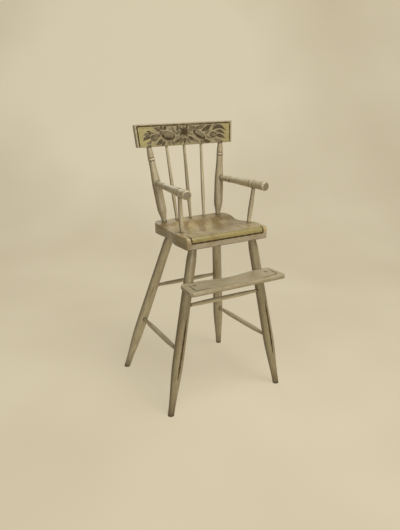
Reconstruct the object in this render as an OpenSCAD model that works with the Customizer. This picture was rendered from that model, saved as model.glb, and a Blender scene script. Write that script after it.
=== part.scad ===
// Child's painted high chair: plank seat, four splayed legs, rod back, turned arms, footrest board.
// Millimetres. The chair faces -Y, the floor is z = 0, and left is the -X side, seen from the front.
// A "back" distance is measured rearwards from the seat's front edge.

/* [Seat] */
// Height of the seat's flat underside above the floor
seat_underside_h = 543; // [480:1:620]
// Depth of the seat from front to rear
seat_depth = 262; // [256:1:290]
// Width of the seat at its front corners
seat_front_w = 292; // [284:1:320]
// Width of the seat at its widest place, just behind the front corners
seat_ear_w = 297; // [288:1:330]
// Width of the seat at its waist
seat_waist_w = 268; // [250:1:290]
// Width of the seat across its rear lobes
seat_lobe_w = 276; // [256:1:296]
// Distance of the widest place behind the front edge
seat_ear_back = 68; // [50:1:90]
// Distance of the waist behind the front edge
seat_waist_back = 160; // [120:1:180]
// Distance of the rear lobes behind the front edge
seat_lobe_back = 212; // [190:1:225]
// Thickness of the seat along its front
seat_front_t = 38; // [32:1:48]
// Thickness of the seat at its waist
seat_waist_t = 29.5; // [26:0.5:36]
// Thickness of the seat under the back rods
seat_rear_t = 35; // [31:1:45]
// Radius of the rounded rear corners
seat_rear_corner_r = 34; // [10:1:50]
// Radius of the rounded front corners
seat_front_corner_r = 9; // [3:1:20]
// Radius of the roll along the top of the front edge
seat_roll_r = 12; // [4:1:20]
// Radius of the easing along the top of the rear edge
seat_rear_ease_r = 6; // [2:1:12]
// Depth of the hollow below the seat's waist
seat_hollow_depth = 6; // [3:0.5:8]
// Width of the hollow at its rim
seat_hollow_w = 226; // [190:1:232]
// Width of the hollow's level floor
seat_hollow_floor_w = 96; // [60:1:150]
// Distance of the hollow's lowest place behind the front edge
seat_hollow_back = 146; // [110:1:170]

/* [Legs] */
// Distance between the front leg centres at the seat's underside
front_leg_top_w = 215; // [180:1:236]
// Distance between the rear leg centres at the seat's underside
rear_leg_top_w = 175; // [150:1:186]
// Distance of the front leg tops behind the seat's front edge
front_leg_top_back = 34; // [28:1:50]
// Distance of the rear leg tops behind the seat's front edge
rear_leg_top_back = 219; // [190:1:224]
// Distance between the front foot centres on the floor
front_foot_w = 417; // [340:1:460]
// Distance between the rear foot centres on the floor
rear_foot_w = 403; // [320:1:450]
// Distance of the front foot centres behind the seat's front edge
front_foot_back = 5; // [-20:1:30]
// Distance of the rear foot centres behind the seat's front edge
rear_foot_back = 382; // [300:1:420]
// Diameter of a leg at the floor
foot_d = 21; // [16:0.5:26]
// Greatest diameter of a leg
leg_swell_d = 35.5; // [30:0.5:38]
// Distance of the greatest diameter from the floor, along the leg
leg_swell_up = 186; // [160:1:260]
// Diameter of a leg below its neck
leg_shoulder_d = 31; // [27:0.5:34]
// Length of the neck between that place and the seat
leg_neck_len = 46; // [20:1:80]
// Diameter of the tenon at the top of a leg
leg_tenon_d = 25; // [20:0.5:26]
// Length of leg inside the seat
leg_tenon_len = 20; // [14:1:22]

/* [Stretchers] */
// Height of the left side stretcher above the floor
side_stretcher_left_h = 211; // [150:1:280]
// Height of the right side stretcher above the floor
side_stretcher_right_h = 184; // [150:1:280]
// Height of the stretcher between the rear legs
rear_stretcher_h = 341.5; // [300:0.5:420]
// Height of the stretcher between the front legs
front_stretcher_h = 358.5; // [300:0.5:390]
// Greatest diameter of a side stretcher
side_stretcher_d = 17; // [13:0.5:20]
// Greatest diameter of the front and rear stretchers
cross_stretcher_d = 14.5; // [12:0.5:18]
// Diameter of a stretcher's tenons
stretcher_tenon_d = 11.5; // [9:0.5:12]

/* [Footrest] */
// Height of the top of the footrest board above the floor
footrest_top_h = 437; // [410:1:480]
// Thickness of the footrest board
footrest_t = 12.5; // [10:0.5:18]
// Width of the footrest board along its rear edge
footrest_rear_w = 330; // [320:1:350]
// Width of the footrest board along its front edge
footrest_front_w = 344; // [320:1:370]
// Reach of the footrest board in front of the seat's front edge
footrest_reach = 73.5; // [60:0.5:110]
// Distance of the board's rear edge behind the seat's front edge
footrest_rear_back = 17; // [14:0.5:24]
// Depth of the curve cut into the board's rear edge
footrest_waist = 16; // [4:0.5:22]
// Radius of the board's corners
footrest_corner_r = 9; // [3:1:16]
// Diameter of the brackets that carry the board
bracket_d = 13; // [12:0.5:16]
// Depth of the flat on top of a bracket, where the board sits
bracket_flat = 1.2; // [0.6:0.1:2]
// Length of a bracket, from the middle of the leg to its front end
bracket_len = 62; // [52:1:72]
// Diameter of a footrest nail's head
nail_head_d = 7; // [5:0.5:9]
// Thickness of a footrest nail's head
nail_head_t = 1.2; // [0.8:0.1:2]
// Diameter of a footrest nail's shank
nail_shank_d = 3; // [2:0.2:4]
// Depth of a footrest nail in the bracket
nail_depth = 8; // [6:0.5:9]
// Distance of a footrest nail in front of the middle of the leg
nail_ahead = 44; // [36:1:48]

/* [Back] */
// Distance between the back posts at the seat
post_seat_w = 207; // [196:1:214]
// Distance of the back rods behind the seat's front edge, at the seat
rods_seat_back = 235; // [232:1:240]
// Distance between the back posts at the crest rail
post_crest_w = 268; // [230:1:300]
// Spacing of the spindles at the seat
spindle_seat_pitch = 52; // [40:1:56]
// Spacing of the spindles at the crest rail
spindle_crest_pitch = 64.5; // [50:0.5:70]
// Distance of the middle spindle to the left of the chair's middle, at the seat
spindle_seat_shift = 5; // [0:0.5:8]
// Distance of the middle spindle to the left of the chair's middle, at the crest rail
spindle_crest_shift = 6.5; // [0:0.5:10]
// Diameter of a post at the seat, and of its tenon there
post_seat_d = 16.5; // [13:0.5:17]
// Greatest diameter of a post
post_swell_d = 30; // [24:0.5:34]
// Distance above the seat at which a post reaches its greatest diameter
post_swell_up = 46; // [36:1:60]
// Length over which a post keeps its greatest diameter
post_swell_len = 62; // [20:1:90]
// Diameter of a post at its ring
post_ring_d = 21.5; // [18:0.5:24]
// Distance of the ring below the crest rail, along the post
post_ring_down = 39; // [30:1:60]
// Width of a post's ring
post_ring_w = 10; // [6:0.5:14]
// Height that the ring stands out of the post
post_ring_proud = 1.4; // [0.6:0.1:2]
// Diameter of a post under the crest rail
post_crest_d = 17; // [13:0.5:18]
// Diameter of a post's tenon in the crest rail
post_crest_tenon_d = 9; // [7:0.5:9.5]
// Greatest diameter of a spindle
spindle_d = 12; // [9.5:0.5:14]
// Diameter of a spindle at its ends and tenons
spindle_end_d = 9; // [7:0.5:9.5]
// Length of a back rod inside the seat
rod_seat_tenon_len = 17; // [12:1:19]
// Length of a back rod inside the crest rail
rod_crest_tenon_len = 19; // [14:1:30]

/* [Crest rail] */
// Height of the crest rail's underside above the floor
crest_underside_h = 818; // [760:1:880]
// Distance of the crest rail's underside behind the seat's front edge
crest_underside_back = 274; // [255:1:300]
// Height of the crest rail's board
crest_height = 72; // [55:1:95]
// Width of the crest rail along its underside
crest_bottom_w = 353; // [330:1:380]
// Width of the crest rail along its top
crest_top_w = 364; // [330:1:400]
// Thickness of the crest rail
crest_t = 14; // [13:0.5:18]
// Angle by which the crest rail leans back
crest_lean = 7.6; // [4:0.2:12]
// Radius of the crest rail's corners
crest_corner_r = 3; // [1:0.5:6]
// Diameter of the pins that hold the crest rail on its posts
crest_pin_d = 4; // [3:0.5:5]
// Distance of the pins above the crest rail's underside
crest_pin_up = 10; // [7:0.5:11]
// Height that the pins stand out of the rear face
crest_pin_proud = 0.6; // [0.2:0.1:1.5]

/* [Arms] */
// Height above the floor at which an arm enters its post
arm_root_h = 703; // [680:1:725]
// Height above the floor of an arm's front end
arm_tip_h = 708; // [690:1:730]
// Distance between the arms' front ends
arm_tip_w = 278; // [250:1:310]
// Distance of the arms' front ends behind the seat's front edge
arm_tip_back = 8; // [-10:1:30]
// Diameter of an arm's tenon in its post
arm_tenon_d = 14; // [11:0.5:15]
// Diameter of an arm near its post
arm_rear_d = 20.5; // [18:0.5:23]
// Diameter of an arm over its support
arm_front_d = 26; // [23:0.5:30]
// Diameter of the knob at an arm's front end
arm_knob_d = 29; // [26:0.5:34]
// Diameter of the flat end of the knob
arm_end_d = 22; // [14:0.5:25]
// Distance of the rear ring from the post, along the arm
arm_rear_ring_at = 60; // [45:1:80]
// Width of the rear ring
arm_rear_ring_w = 16; // [8:0.5:18]
// Distance of the front ring from the post, along the arm
arm_front_ring_at = 184; // [160:1:190]
// Width of the front ring
arm_front_ring_w = 19; // [8:0.5:21]
// Height that an arm's rings stand out
arm_ring_proud = 1.2; // [0.5:0.1:2]
// Distance of the support from the post, along the arm
support_at = 190; // [186:1:205]
// Distance between the arm supports at the seat
support_seat_w = 247; // [235:1:255]
// Distance of the arm supports behind the seat's front edge, at the seat
support_seat_back = 76; // [60:1:95]
// Diameter of an arm support below its middle
support_d = 15.5; // [13:0.5:18]
// Diameter of an arm support at its ends and tenons
support_end_d = 12.5; // [9:0.5:13]
// Length of an arm support inside the seat
support_seat_tenon_len = 17; // [12:1:22]

/* [Fits] */
// Gap round each tenon in its socket
tenon_gap = 0.1; // [0.05:0.05:0.3]
// Gap between the end of a tenon and the bottom of its socket
tenon_end_gap = 0.4; // [0.2:0.1:1]
// Gap between the footrest board and the legs that it is cut round
board_gap = 0.3; // [0.2:0.1:0.6]

/* [Hidden] */

left = -1;
right = 1;
$fn = 96;
// Steps along each curved stretch of a turning, and of one in a ring
turning_steps = 8;
ring_steps = 3;
// Steps along the seat's outline and profile, its cheeks and the board's edges
outline_steps = 44;
profile_steps = 28;
cheek_steps = 8;
board_steps = 30;
corner_steps = 6;
// Facets of small rounds: nails and pins
small_fn = 32;
// Turn of the leg sockets' seams in the seat
leg_socket_seam = -90;
// Longer than any piece: the reach of a cut that has to leave a piece
far = 900;
// Reach of a cut past the face that it starts from
cut_margin = 5;

drab_paint = "#a1946f";
olive_paint = "#b3a56c";
pale_paint = "#b5a684";
iron = "#4b4237";
bare_wood = "#8a6a44";

// The origin is the middle of the chair's whole depth, from the footrest to the rear feet
rear_leg_rake = (rear_foot_back - rear_leg_top_back) / seat_underside_h;
rear_foot_reach = foot_d / 2 * sqrt(1 + pow(rear_leg_rake, 2));
middle_back = (rear_foot_back + rear_foot_reach - footrest_reach) / 2;
function y_at(back) = back - middle_back;

// Width and depth of the groove on each side of a ring
ring_groove_w = 2.5;
ring_groove_depth = 0.8;
// Greatest distance from one station of a ring to the next
ring_stretch = 8;
// Shares in a turning: the length of each taper of a stretcher, and the place of the swell of a
// spindle or an arm support, from the seat
stretcher_taper_share = 1 / 4;
rod_swell_share = 1 / 3;
// Distance inside the post's surface at which an arm's tenon ends, and outside it at which the
// arm has its full diameter
arm_shoulder_inset = 3;
arm_shoulder_len = 10;
// Length of an arm's knob, for each millimetre of its bevel
knob_len_share = 3;

// Small helpers for points on lines and for smooth curves
function between(a, b, t) = a + (b - a) * t;
function at_height(a, b, z) = between(a, b, (z - a.z) / (b.z - a.z));
function unit(v) = v / norm(v);
function past(a, b, distance) = b + unit(b - a) * distance;
function ease(t) = (1 - cos(180 * t)) / 2;
// Height of a smooth curve through stations of [place, height] at one place
function smooth_at(stations, place, i = 0) =
    place <= stations[0][0] ? stations[0][1] :
    i >= len(stations) - 1 ? stations[len(stations) - 1][1] :
    place > stations[i + 1][0] ? smooth_at(stations, place, i + 1) :
    between(stations[i][1], stations[i + 1][1],
            ease((place - stations[i][0]) / (stations[i + 1][0] - stations[i][0])));
// What a quarter round of radius r takes off at a distance from the edge
function round_loss(r, distance) = distance >= r ? 0 : r - sqrt(r * r - pow(r - distance, 2));

// Depth of the level stretches of the seat's top at its front, and in front of the back rods
seat_front_flat = 50;
rods_front_flat = 25;
// The seat's thickness and half width at a distance behind its front edge
seat_thickness_stations = [
    [seat_front_flat, seat_front_t],
    [seat_waist_back, seat_waist_t],
    [rods_seat_back - rods_front_flat, seat_rear_t]
];
seat_width_stations = [
    [0, seat_front_w / 2],
    [seat_ear_back, seat_ear_w / 2],
    [seat_waist_back, seat_waist_w / 2],
    [seat_lobe_back, seat_lobe_w / 2]
];
function seat_thickness(back) = smooth_at(seat_thickness_stations, back);
function seat_rolled_thickness(back) =
    seat_thickness(back)
    - round_loss(seat_roll_r, back)
    - round_loss(seat_rear_ease_r, seat_depth - back);
function seat_half_width(back) =
    smooth_at(seat_width_stations, back)
    - round_loss(seat_front_corner_r, back)
    - round_loss(seat_rear_corner_r, seat_depth - back);
function seat_top_h(back) = seat_underside_h + seat_thickness(back);
// The hollow: its floor rises to the front and rear, and its cheeks rise to the sides.
// It starts a little way from the front edge and the rods, and its rims end above the seat's top.
hollow_edge = 14;
hollow_clear = 1;
hollow_floor_t = seat_waist_t - seat_hollow_depth;
hollow_stations = [
    [hollow_edge, seat_front_t + hollow_clear],
    [seat_hollow_back, hollow_floor_t],
    [rods_seat_back - hollow_edge, seat_rear_t + hollow_clear]
];
cheek_stations = [
    [seat_hollow_floor_w / 2, hollow_floor_t - hollow_clear],
    [seat_hollow_w / 2, max(seat_front_t, seat_rear_t) + hollow_clear]
];

// Ends of each axis, at the faces where the pieces meet
function front_leg_foot(side) = [side * front_foot_w / 2, y_at(front_foot_back), 0];
function rear_leg_foot(side) = [side * rear_foot_w / 2, y_at(rear_foot_back), 0];
function front_leg_top(side) = [side * front_leg_top_w / 2, y_at(front_leg_top_back), seat_underside_h];
function rear_leg_top(side) = [side * rear_leg_top_w / 2, y_at(rear_leg_top_back), seat_underside_h];
function front_leg_at(side, z) = at_height(front_leg_foot(side), front_leg_top(side), z);
function rear_leg_at(side, z) = at_height(rear_leg_foot(side), rear_leg_top(side), z);
function rod_foot(x) = [x, y_at(rods_seat_back), seat_top_h(rods_seat_back)];
function rod_head(x) = [x, y_at(crest_underside_back), crest_underside_h];
function post_foot(side) = rod_foot(side * post_seat_w / 2);
function post_head(side) = rod_head(side * post_crest_w / 2);
function arm_root(side) = at_height(post_foot(side), post_head(side), arm_root_h);
function arm_tip(side) = [side * arm_tip_w / 2, y_at(arm_tip_back), arm_tip_h];
function support_foot(side) =
    [side * support_seat_w / 2, y_at(support_seat_back), seat_top_h(support_seat_back)];
function support_head(side) = past(arm_tip(side), arm_root(side), -support_at);
function side_stretcher_h(side) = side == left ? side_stretcher_left_h : side_stretcher_right_h;
bracket_h = footrest_top_h - footrest_t + bracket_flat - bracket_d / 2;
function bracket_root(side) = front_leg_at(side, bracket_h);
function bracket_tip(side) = bracket_root(side) - [0, bracket_len, 0];
function nail_place(side) = bracket_root(side) - [0, nail_ahead, 0];

// A leg's radius at a distance up its axis from the floor
function leg_stations(length) = [
    [-foot_d / 2, foot_d / 2],
    [0, foot_d / 2],
    [leg_swell_up, leg_swell_d / 2],
    [length - leg_neck_len, leg_shoulder_d / 2],
    [length, leg_tenon_d / 2],
    [length + leg_tenon_len, leg_tenon_d / 2]
];

// A ring of width w at one place on a turning of radius r: a rounded band between two grooves
function ring_stations(at, w, r, proud) = [
    [at - w / 2 - ring_groove_w, r],
    [at - w / 2, r - ring_groove_depth],
    [at - w / 2 + ring_groove_w, r + proud / 2],
    [at, r + proud],
    [at + w / 2 - ring_groove_w, r + proud / 2],
    [at + w / 2, r - ring_groove_depth],
    [at + w / 2 + ring_groove_w, r]
];

// Steps from one station of a turning to the next: few where they are as close as in a ring
function station_steps(a, b) =
    a[1] == b[1] ? 1 : b[0] - a[0] <= ring_stretch ? ring_steps : turning_steps;

// Turns a closed round piece from stations of [distance along the axis, radius]
module turned(stations) {
    outline = [
        for (i = [0 : len(stations) - 2])
            let (steps = station_steps(stations[i], stations[i + 1]))
            for (j = [0 : steps - 1])
                [
                    between(stations[i][1], stations[i + 1][1], ease(j / steps)),
                    between(stations[i][0], stations[i + 1][0], j / steps)
                ]
    ];
    tip = stations[len(stations) - 1];
    rotate_extrude()
        polygon(concat([[0, stations[0][0]]], outline, [[tip[1], tip[0]], [0, tip[0]]]));
}

// Stands its children on a, with their +Z axis pointing at b and their +X side turned down or outwards
module along(a, b) {
    run = b - a;
    translate(a)
        rotate([0, acos(run.z / norm(run)), atan2(run.y, run.x)])
            rotate(180)
                children();
}

// The socket for a tenon that comes from a, with its tip at b. The seam is the turn of the line
// where the bore's surface closes, which has to miss the piece's own edges.
module socket(a, b, d, seam = 0) {
    along(past(a, b, tenon_end_gap), a)
        rotate(seam)
            cylinder(d = d + 2 * tenon_gap, h = norm(b - a) / 2);
}

module above_floor() {
    translate([-far, -far, 0])
        cube([2 * far, 2 * far, 2 * far]);
}

// Places its children in the crest rail's frame: +Z up its face from the middle of its underside
module on_crest() {
    translate(rod_head(0))
        rotate([-crest_lean, 0, 0])
            children();
}

// Seat
module seat_outline() {
    backs = [for (i = [0 : outline_steps]) seat_depth * ease(i / outline_steps)];
    right_side = [for (back = backs) [seat_half_width(back), y_at(back)]];
    left_side = [
        for (i = [outline_steps : -1 : 0]) [-seat_half_width(backs[i]), y_at(backs[i])]
    ];
    polygon(concat(right_side, left_side));
}

// The side view of a surface that keeps its height across the seat
module side_view(heights) {
    steps = len(heights) - 1;
    backs = [for (i = [0 : steps]) seat_depth * ease(i / steps)];
    top = [for (i = [0 : steps]) [y_at(backs[i]), heights[i]]];
    front_end = top[0] - [cut_margin, 0];
    rear_end = top[steps] + [cut_margin, 0];
    polygon(concat([[front_end.x, -cut_margin], front_end], top, [rear_end, [rear_end.x, -cut_margin]]));
}

// The front view of the cheeks, which keep their height from front to rear
module cheek_view() {
    half = far / 2;
    xs = [
        for (i = [0 : cheek_steps])
            between(seat_hollow_floor_w / 2, seat_hollow_w / 2, i / cheek_steps)
    ];
    right_side = [for (x = xs) [x, smooth_at(cheek_stations, x)]];
    left_side = [for (i = [cheek_steps : -1 : 0]) [-right_side[i].x, right_side[i].y]];
    outer = right_side[cheek_steps].y;
    polygon(concat(
        [[-half, -cut_margin], [half, -cut_margin], [half, outer]],
        [for (i = [cheek_steps : -1 : 0]) right_side[i]],
        [for (i = [cheek_steps : -1 : 0]) left_side[i]],
        [[-half, outer]]
    ));
}

// Everything below a surface that keeps its height across the seat
module across(heights) {
    rotate([90, 0, 90])
        linear_extrude(far, center = true) side_view(heights);
}

module seat_plank() {
    backs = [for (i = [0 : profile_steps]) seat_depth * ease(i / profile_steps)];
    intersection() {
        linear_extrude(max(seat_front_t, seat_rear_t) + cut_margin) seat_outline();
        across([for (back = backs) seat_rolled_thickness(back)]);
        union() {
            across([for (back = backs) smooth_at(hollow_stations, back)]);
            rotate([90, 0, 0])
                linear_extrude(far, center = true) cheek_view();
        }
    }
}

module seat() {
    color(pale_paint)
        difference() {
            translate([0, 0, seat_underside_h]) seat_plank();
            for (side = [left, right]) {
                socket(front_leg_foot(side), front_leg_tip(side), leg_tenon_d, leg_socket_seam);
                socket(rear_leg_foot(side), rear_leg_tip(side), leg_tenon_d, leg_socket_seam);
                socket(post_head(side), rod_seat_tip(post_foot(side), post_head(side)), post_seat_d);
                socket(support_head(side), support_seat_tip(side), support_end_d);
            }
            for (i = [-1 : 1])
                socket(spindle_head(i), rod_seat_tip(spindle_foot(i), spindle_head(i)), spindle_end_d);
        }
}

// Legs
function front_leg_tip(side) = past(front_leg_foot(side), front_leg_top(side), leg_tenon_len);
function rear_leg_tip(side) = past(rear_leg_foot(side), rear_leg_top(side), leg_tenon_len);

module leg(foot, top) {
    intersection() {
        along(foot, top) turned(leg_stations(norm(top - foot)));
        above_floor();
    }
}

module front_leg(side) {
    color(drab_paint)
        difference() {
            leg(front_leg_foot(side), front_leg_top(side));
            socket(rear_leg_at(side, side_stretcher_h(side)),
                   front_leg_at(side, side_stretcher_h(side)), stretcher_tenon_d);
            socket(front_leg_at(-side, front_stretcher_h),
                   front_leg_at(side, front_stretcher_h), stretcher_tenon_d);
            socket(bracket_tip(side), bracket_root(side), stretcher_tenon_d);
        }
}

module rear_leg(side) {
    color(drab_paint)
        difference() {
            leg(rear_leg_foot(side), rear_leg_top(side));
            socket(front_leg_at(side, side_stretcher_h(side)),
                   rear_leg_at(side, side_stretcher_h(side)), stretcher_tenon_d);
            socket(rear_leg_at(-side, rear_stretcher_h),
                   rear_leg_at(side, rear_stretcher_h), stretcher_tenon_d);
        }
}

module front_leg_left() front_leg(left);
module front_leg_right() front_leg(right);
module rear_leg_left() rear_leg(left);
module rear_leg_right() rear_leg(right);

// Stretchers, each with its tenon ends in the middle of the legs
module stretcher(a, b, d) {
    length = norm(b - a);
    tenon = leg_swell_d / 2;
    taper = length * stretcher_taper_share;
    color(drab_paint)
        along(a, b)
            turned([
                [0, stretcher_tenon_d / 2],
                [tenon, stretcher_tenon_d / 2],
                [tenon + taper, d / 2],
                [length - tenon - taper, d / 2],
                [length - tenon, stretcher_tenon_d / 2],
                [length, stretcher_tenon_d / 2]
            ]);
}

module side_stretcher(side) {
    h = side_stretcher_h(side);
    stretcher(rear_leg_at(side, h), front_leg_at(side, h), side_stretcher_d);
}

module side_stretcher_left() side_stretcher(left);
module side_stretcher_right() side_stretcher(right);

module front_stretcher() {
    stretcher(front_leg_at(left, front_stretcher_h), front_leg_at(right, front_stretcher_h),
              cross_stretcher_d);
}

module rear_stretcher() {
    stretcher(rear_leg_at(left, rear_stretcher_h), rear_leg_at(right, rear_stretcher_h),
              cross_stretcher_d);
}

// Footrest
function board_half_width(back) =
    between(footrest_front_w / 2, footrest_rear_w / 2,
            (back + footrest_reach) / (footrest_reach + footrest_rear_back))
    - round_loss(footrest_corner_r, back + footrest_reach)
    - round_loss(footrest_corner_r, footrest_rear_back - back);
function board_rear_edge(x) =
    let (leg_x = front_leg_at(right, footrest_top_h).x)
    footrest_rear_back - footrest_waist * (1 - ease(min(1, abs(x) / leg_x)));

module footrest_outline() {
    corner = [for (i = [0 : corner_steps]) footrest_corner_r * ease(i / corner_steps / 2) * 2];
    front = [for (c = corner) -footrest_reach + c];
    rear = [for (i = [corner_steps : -1 : 0]) footrest_rear_back - corner[i]];
    right_side = [for (back = concat(front, rear)) [board_half_width(back), y_at(back)]];
    reach = board_half_width(footrest_rear_back);
    rear_edge = [
        for (i = [1 : board_steps - 1])
            let (x = reach * (1 - 2 * i / board_steps)) [x, y_at(board_rear_edge(x))]
    ];
    left_side = [
        for (i = [len(right_side) - 1 : -1 : 0]) [-right_side[i].x, right_side[i].y]
    ];
    polygon(concat(right_side, rear_edge, left_side));
}

module footrest_board() {
    color(olive_paint)
        difference() {
            translate([0, 0, footrest_top_h - footrest_t])
                linear_extrude(footrest_t) footrest_outline();
            for (side = [left, right]) {
                along(front_leg_foot(side), front_leg_top(side))
                    cylinder(d = board_notch_d(side), h = far);
                nail_bore(side);
            }
        }
}

// The notch fits round the leg where the leg passes the board
function board_notch_d(side) =
    let (length = norm(front_leg_top(side) - front_leg_foot(side)))
    2 * (smooth_at(leg_stations(length), norm(bracket_root(side) - front_leg_foot(side))) + board_gap);

module footrest_bracket(side) {
    tenon = leg_swell_d / 2;
    color(drab_paint)
        difference() {
            along(bracket_root(side), bracket_tip(side))
                turned([
                    [0, stretcher_tenon_d / 2],
                    [tenon, stretcher_tenon_d / 2],
                    [tenon + bracket_d / 2, bracket_d / 2],
                    [bracket_len, bracket_d / 2]
                ]);
            translate([-far, -far, footrest_top_h - footrest_t])
                cube([2 * far, 2 * far, bracket_d]);
            nail_bore(side);
        }
}

module footrest_bracket_left() footrest_bracket(left);
module footrest_bracket_right() footrest_bracket(right);

nail_tip_h = footrest_top_h - footrest_t - nail_depth;

module nail_bore(side) {
    place = nail_place(side);
    translate([place.x, place.y, nail_tip_h - tenon_end_gap])
        cylinder(d = nail_shank_d + 2 * tenon_gap, h = far, $fn = small_fn);
}

module footrest_nails() {
    color(iron)
        for (side = [left, right])
            let (place = nail_place(side)) {
                translate([place.x, place.y, nail_tip_h])
                    cylinder(d = nail_shank_d, h = footrest_top_h - nail_tip_h, $fn = small_fn);
                translate([place.x, place.y, footrest_top_h])
                    cylinder(d1 = nail_head_d, d2 = nail_head_d - nail_head_t, h = nail_head_t,
                             $fn = small_fn);
            }
}

// Back posts and spindles
function rod_seat_tip(foot, head) = past(head, foot, rod_seat_tenon_len);
function rod_crest_tip(foot, head) = past(foot, head, rod_crest_tenon_len);
function spindle_foot(i) = rod_foot(i * spindle_seat_pitch - spindle_seat_shift);
function spindle_head(i) = rod_head(i * spindle_crest_pitch - spindle_crest_shift);

module post_body(side) {
    foot = post_foot(side);
    head = post_head(side);
    length = norm(head - foot);
    intersection() {
        along(foot, head)
            turned(concat(
                [
                    [-rod_seat_tenon_len, post_seat_d / 2],
                    [0, post_seat_d / 2],
                    [post_swell_up, post_swell_d / 2],
                    [post_swell_up + post_swell_len, post_swell_d / 2]
                ],
                ring_stations(length - post_ring_down, post_ring_w, post_ring_d / 2, post_ring_proud),
                [
                    [length, post_crest_d / 2],
                    [length + post_crest_d / 2, post_crest_d / 2]
                ]
            ));
        on_crest()
            translate([-far, -far, -2 * far])
                cube([2 * far, 2 * far, 2 * far]);
    }
}

module back_post(side) {
    color(drab_paint)
        difference() {
            union() {
                post_body(side);
                along(arm_root(side), rod_crest_tip(post_foot(side), post_head(side)))
                    cylinder(d = post_crest_tenon_d,
                             h = norm(rod_crest_tip(post_foot(side), post_head(side)) - arm_root(side)));
            }
            socket(arm_tip(side), arm_root(side), arm_tenon_d);
            crest_pin_bore(side);
        }
}

module back_post_left() back_post(left);
module back_post_right() back_post(right);

module back_spindle(i) {
    foot = spindle_foot(i);
    head = spindle_head(i);
    length = norm(head - foot);
    color(drab_paint)
        along(foot, head)
            turned([
                [-rod_seat_tenon_len, spindle_end_d / 2],
                [0, spindle_end_d / 2],
                [length * rod_swell_share, spindle_d / 2],
                [length, spindle_end_d / 2],
                [length + rod_crest_tenon_len, spindle_end_d / 2]
            ]);
}

module back_spindle_left() back_spindle(-1);
module back_spindle_middle() back_spindle(0);
module back_spindle_right() back_spindle(1);

// Crest rail
function crest_half_width(up) = between(crest_bottom_w, crest_top_w, up / crest_height) / 2
    - round_loss(crest_corner_r, up) - round_loss(crest_corner_r, crest_height - up);

module crest_outline() {
    corner = [for (i = [0 : corner_steps]) crest_corner_r * ease(i / corner_steps / 2) * 2];
    ups = concat(corner, [for (i = [corner_steps : -1 : 0]) crest_height - corner[i]]);
    right_side = [for (up = ups) [crest_half_width(up), up]];
    left_side = [for (i = [len(ups) - 1 : -1 : 0]) [-crest_half_width(ups[i]), ups[i]]];
    polygon(concat(right_side, left_side));
}

module crest_rail() {
    color(olive_paint)
        difference() {
            on_crest()
                rotate([90, 0, 0])
                    linear_extrude(crest_t, center = true) crest_outline();
            for (side = [left, right]) {
                socket(post_foot(side), rod_crest_tip(post_foot(side), post_head(side)),
                       post_crest_tenon_d);
                crest_pin_bore(side);
            }
            for (i = [-1 : 1])
                socket(spindle_foot(i), rod_crest_tip(spindle_foot(i), spindle_head(i)), spindle_end_d);
        }
}

// A crest pin lies square to the board and crosses the post's tenon
crest_pin_len = crest_t / 2 + post_crest_tenon_d / 2;
function crest_pin_x(side) =
    let (foot = post_foot(side), head = post_head(side))
    head.x + (head.x - foot.x) / (head.z - foot.z) * crest_pin_up;

module crest_pin_bore(side) {
    on_crest()
        translate([crest_pin_x(side), crest_t / 2 - crest_pin_len - tenon_end_gap, crest_pin_up])
            rotate([-90, 0, 0])
                cylinder(d = crest_pin_d + 2 * tenon_gap, h = crest_pin_len + crest_t, $fn = small_fn);
}

module crest_pins() {
    color(bare_wood)
        for (side = [left, right])
            on_crest()
                translate([crest_pin_x(side), crest_t / 2 - crest_pin_len, crest_pin_up])
                    rotate([-90, 0, 0])
                        cylinder(d = crest_pin_d, h = crest_pin_len + crest_pin_proud, $fn = small_fn);
}

// Arms and their supports
module arm(side) {
    root = arm_root(side);
    tip = arm_tip(side);
    length = norm(tip - root);
    post_r = post_swell_d / 2;
    knob_bevel = (arm_knob_d - arm_end_d) / 2;
    color(drab_paint)
        difference() {
            along(root, tip)
                turned(concat(
                    [
                        [0, arm_tenon_d / 2],
                        [post_r - arm_shoulder_inset, arm_tenon_d / 2],
                        [post_r + arm_shoulder_len, arm_rear_d / 2]
                    ],
                    ring_stations(arm_rear_ring_at, arm_rear_ring_w, arm_rear_d / 2, arm_ring_proud),
                    ring_stations(arm_front_ring_at, arm_front_ring_w, arm_front_d / 2, arm_ring_proud),
                    [
                        [length - knob_len_share * knob_bevel, arm_knob_d / 2],
                        [length - knob_bevel, arm_knob_d / 2],
                        [length, arm_end_d / 2]
                    ]
                ));
            socket(support_foot(side), support_head(side), support_end_d);
        }
}

module arm_left() arm(left);
module arm_right() arm(right);

function support_seat_tip(side) = past(support_head(side), support_foot(side), support_seat_tenon_len);

module arm_support(side) {
    foot = support_foot(side);
    head = support_head(side);
    length = norm(head - foot);
    arm_r = arm_front_d / 2;
    color(drab_paint)
        along(foot, head)
            turned([
                [-support_seat_tenon_len, support_end_d / 2],
                [0, support_end_d / 2],
                [length * rod_swell_share, support_d / 2],
                [length - arm_r, support_end_d / 2],
                [length, support_end_d / 2]
            ]);
}

module arm_support_left() arm_support(left);
module arm_support_right() arm_support(right);

seat();
front_leg_left();
front_leg_right();
rear_leg_left();
rear_leg_right();
side_stretcher_left();
side_stretcher_right();
front_stretcher();
rear_stretcher();
footrest_board();
footrest_bracket_left();
footrest_bracket_right();
footrest_nails();
back_post_left();
back_post_right();
back_spindle_left();
back_spindle_middle();
back_spindle_right();
crest_rail();
crest_pins();
arm_left();
arm_right();
arm_support_left();
arm_support_right();
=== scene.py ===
"""The looks of a child's painted wooden high chair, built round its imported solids.

Lengths in the classes are millimetres in the chair's own frame: it faces -Y, the floor is z = 0, and
left is the -X side. A "back" distance is measured rearwards from the seat's front edge. Every new
piece is a closed loft: rows of points that close on themselves, with a pole at each end.
"""

import logging
from dataclasses import dataclass, field
from enum import Enum
from functools import partial
from math import cos, radians, sin
from typing import Callable, Sequence

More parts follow.
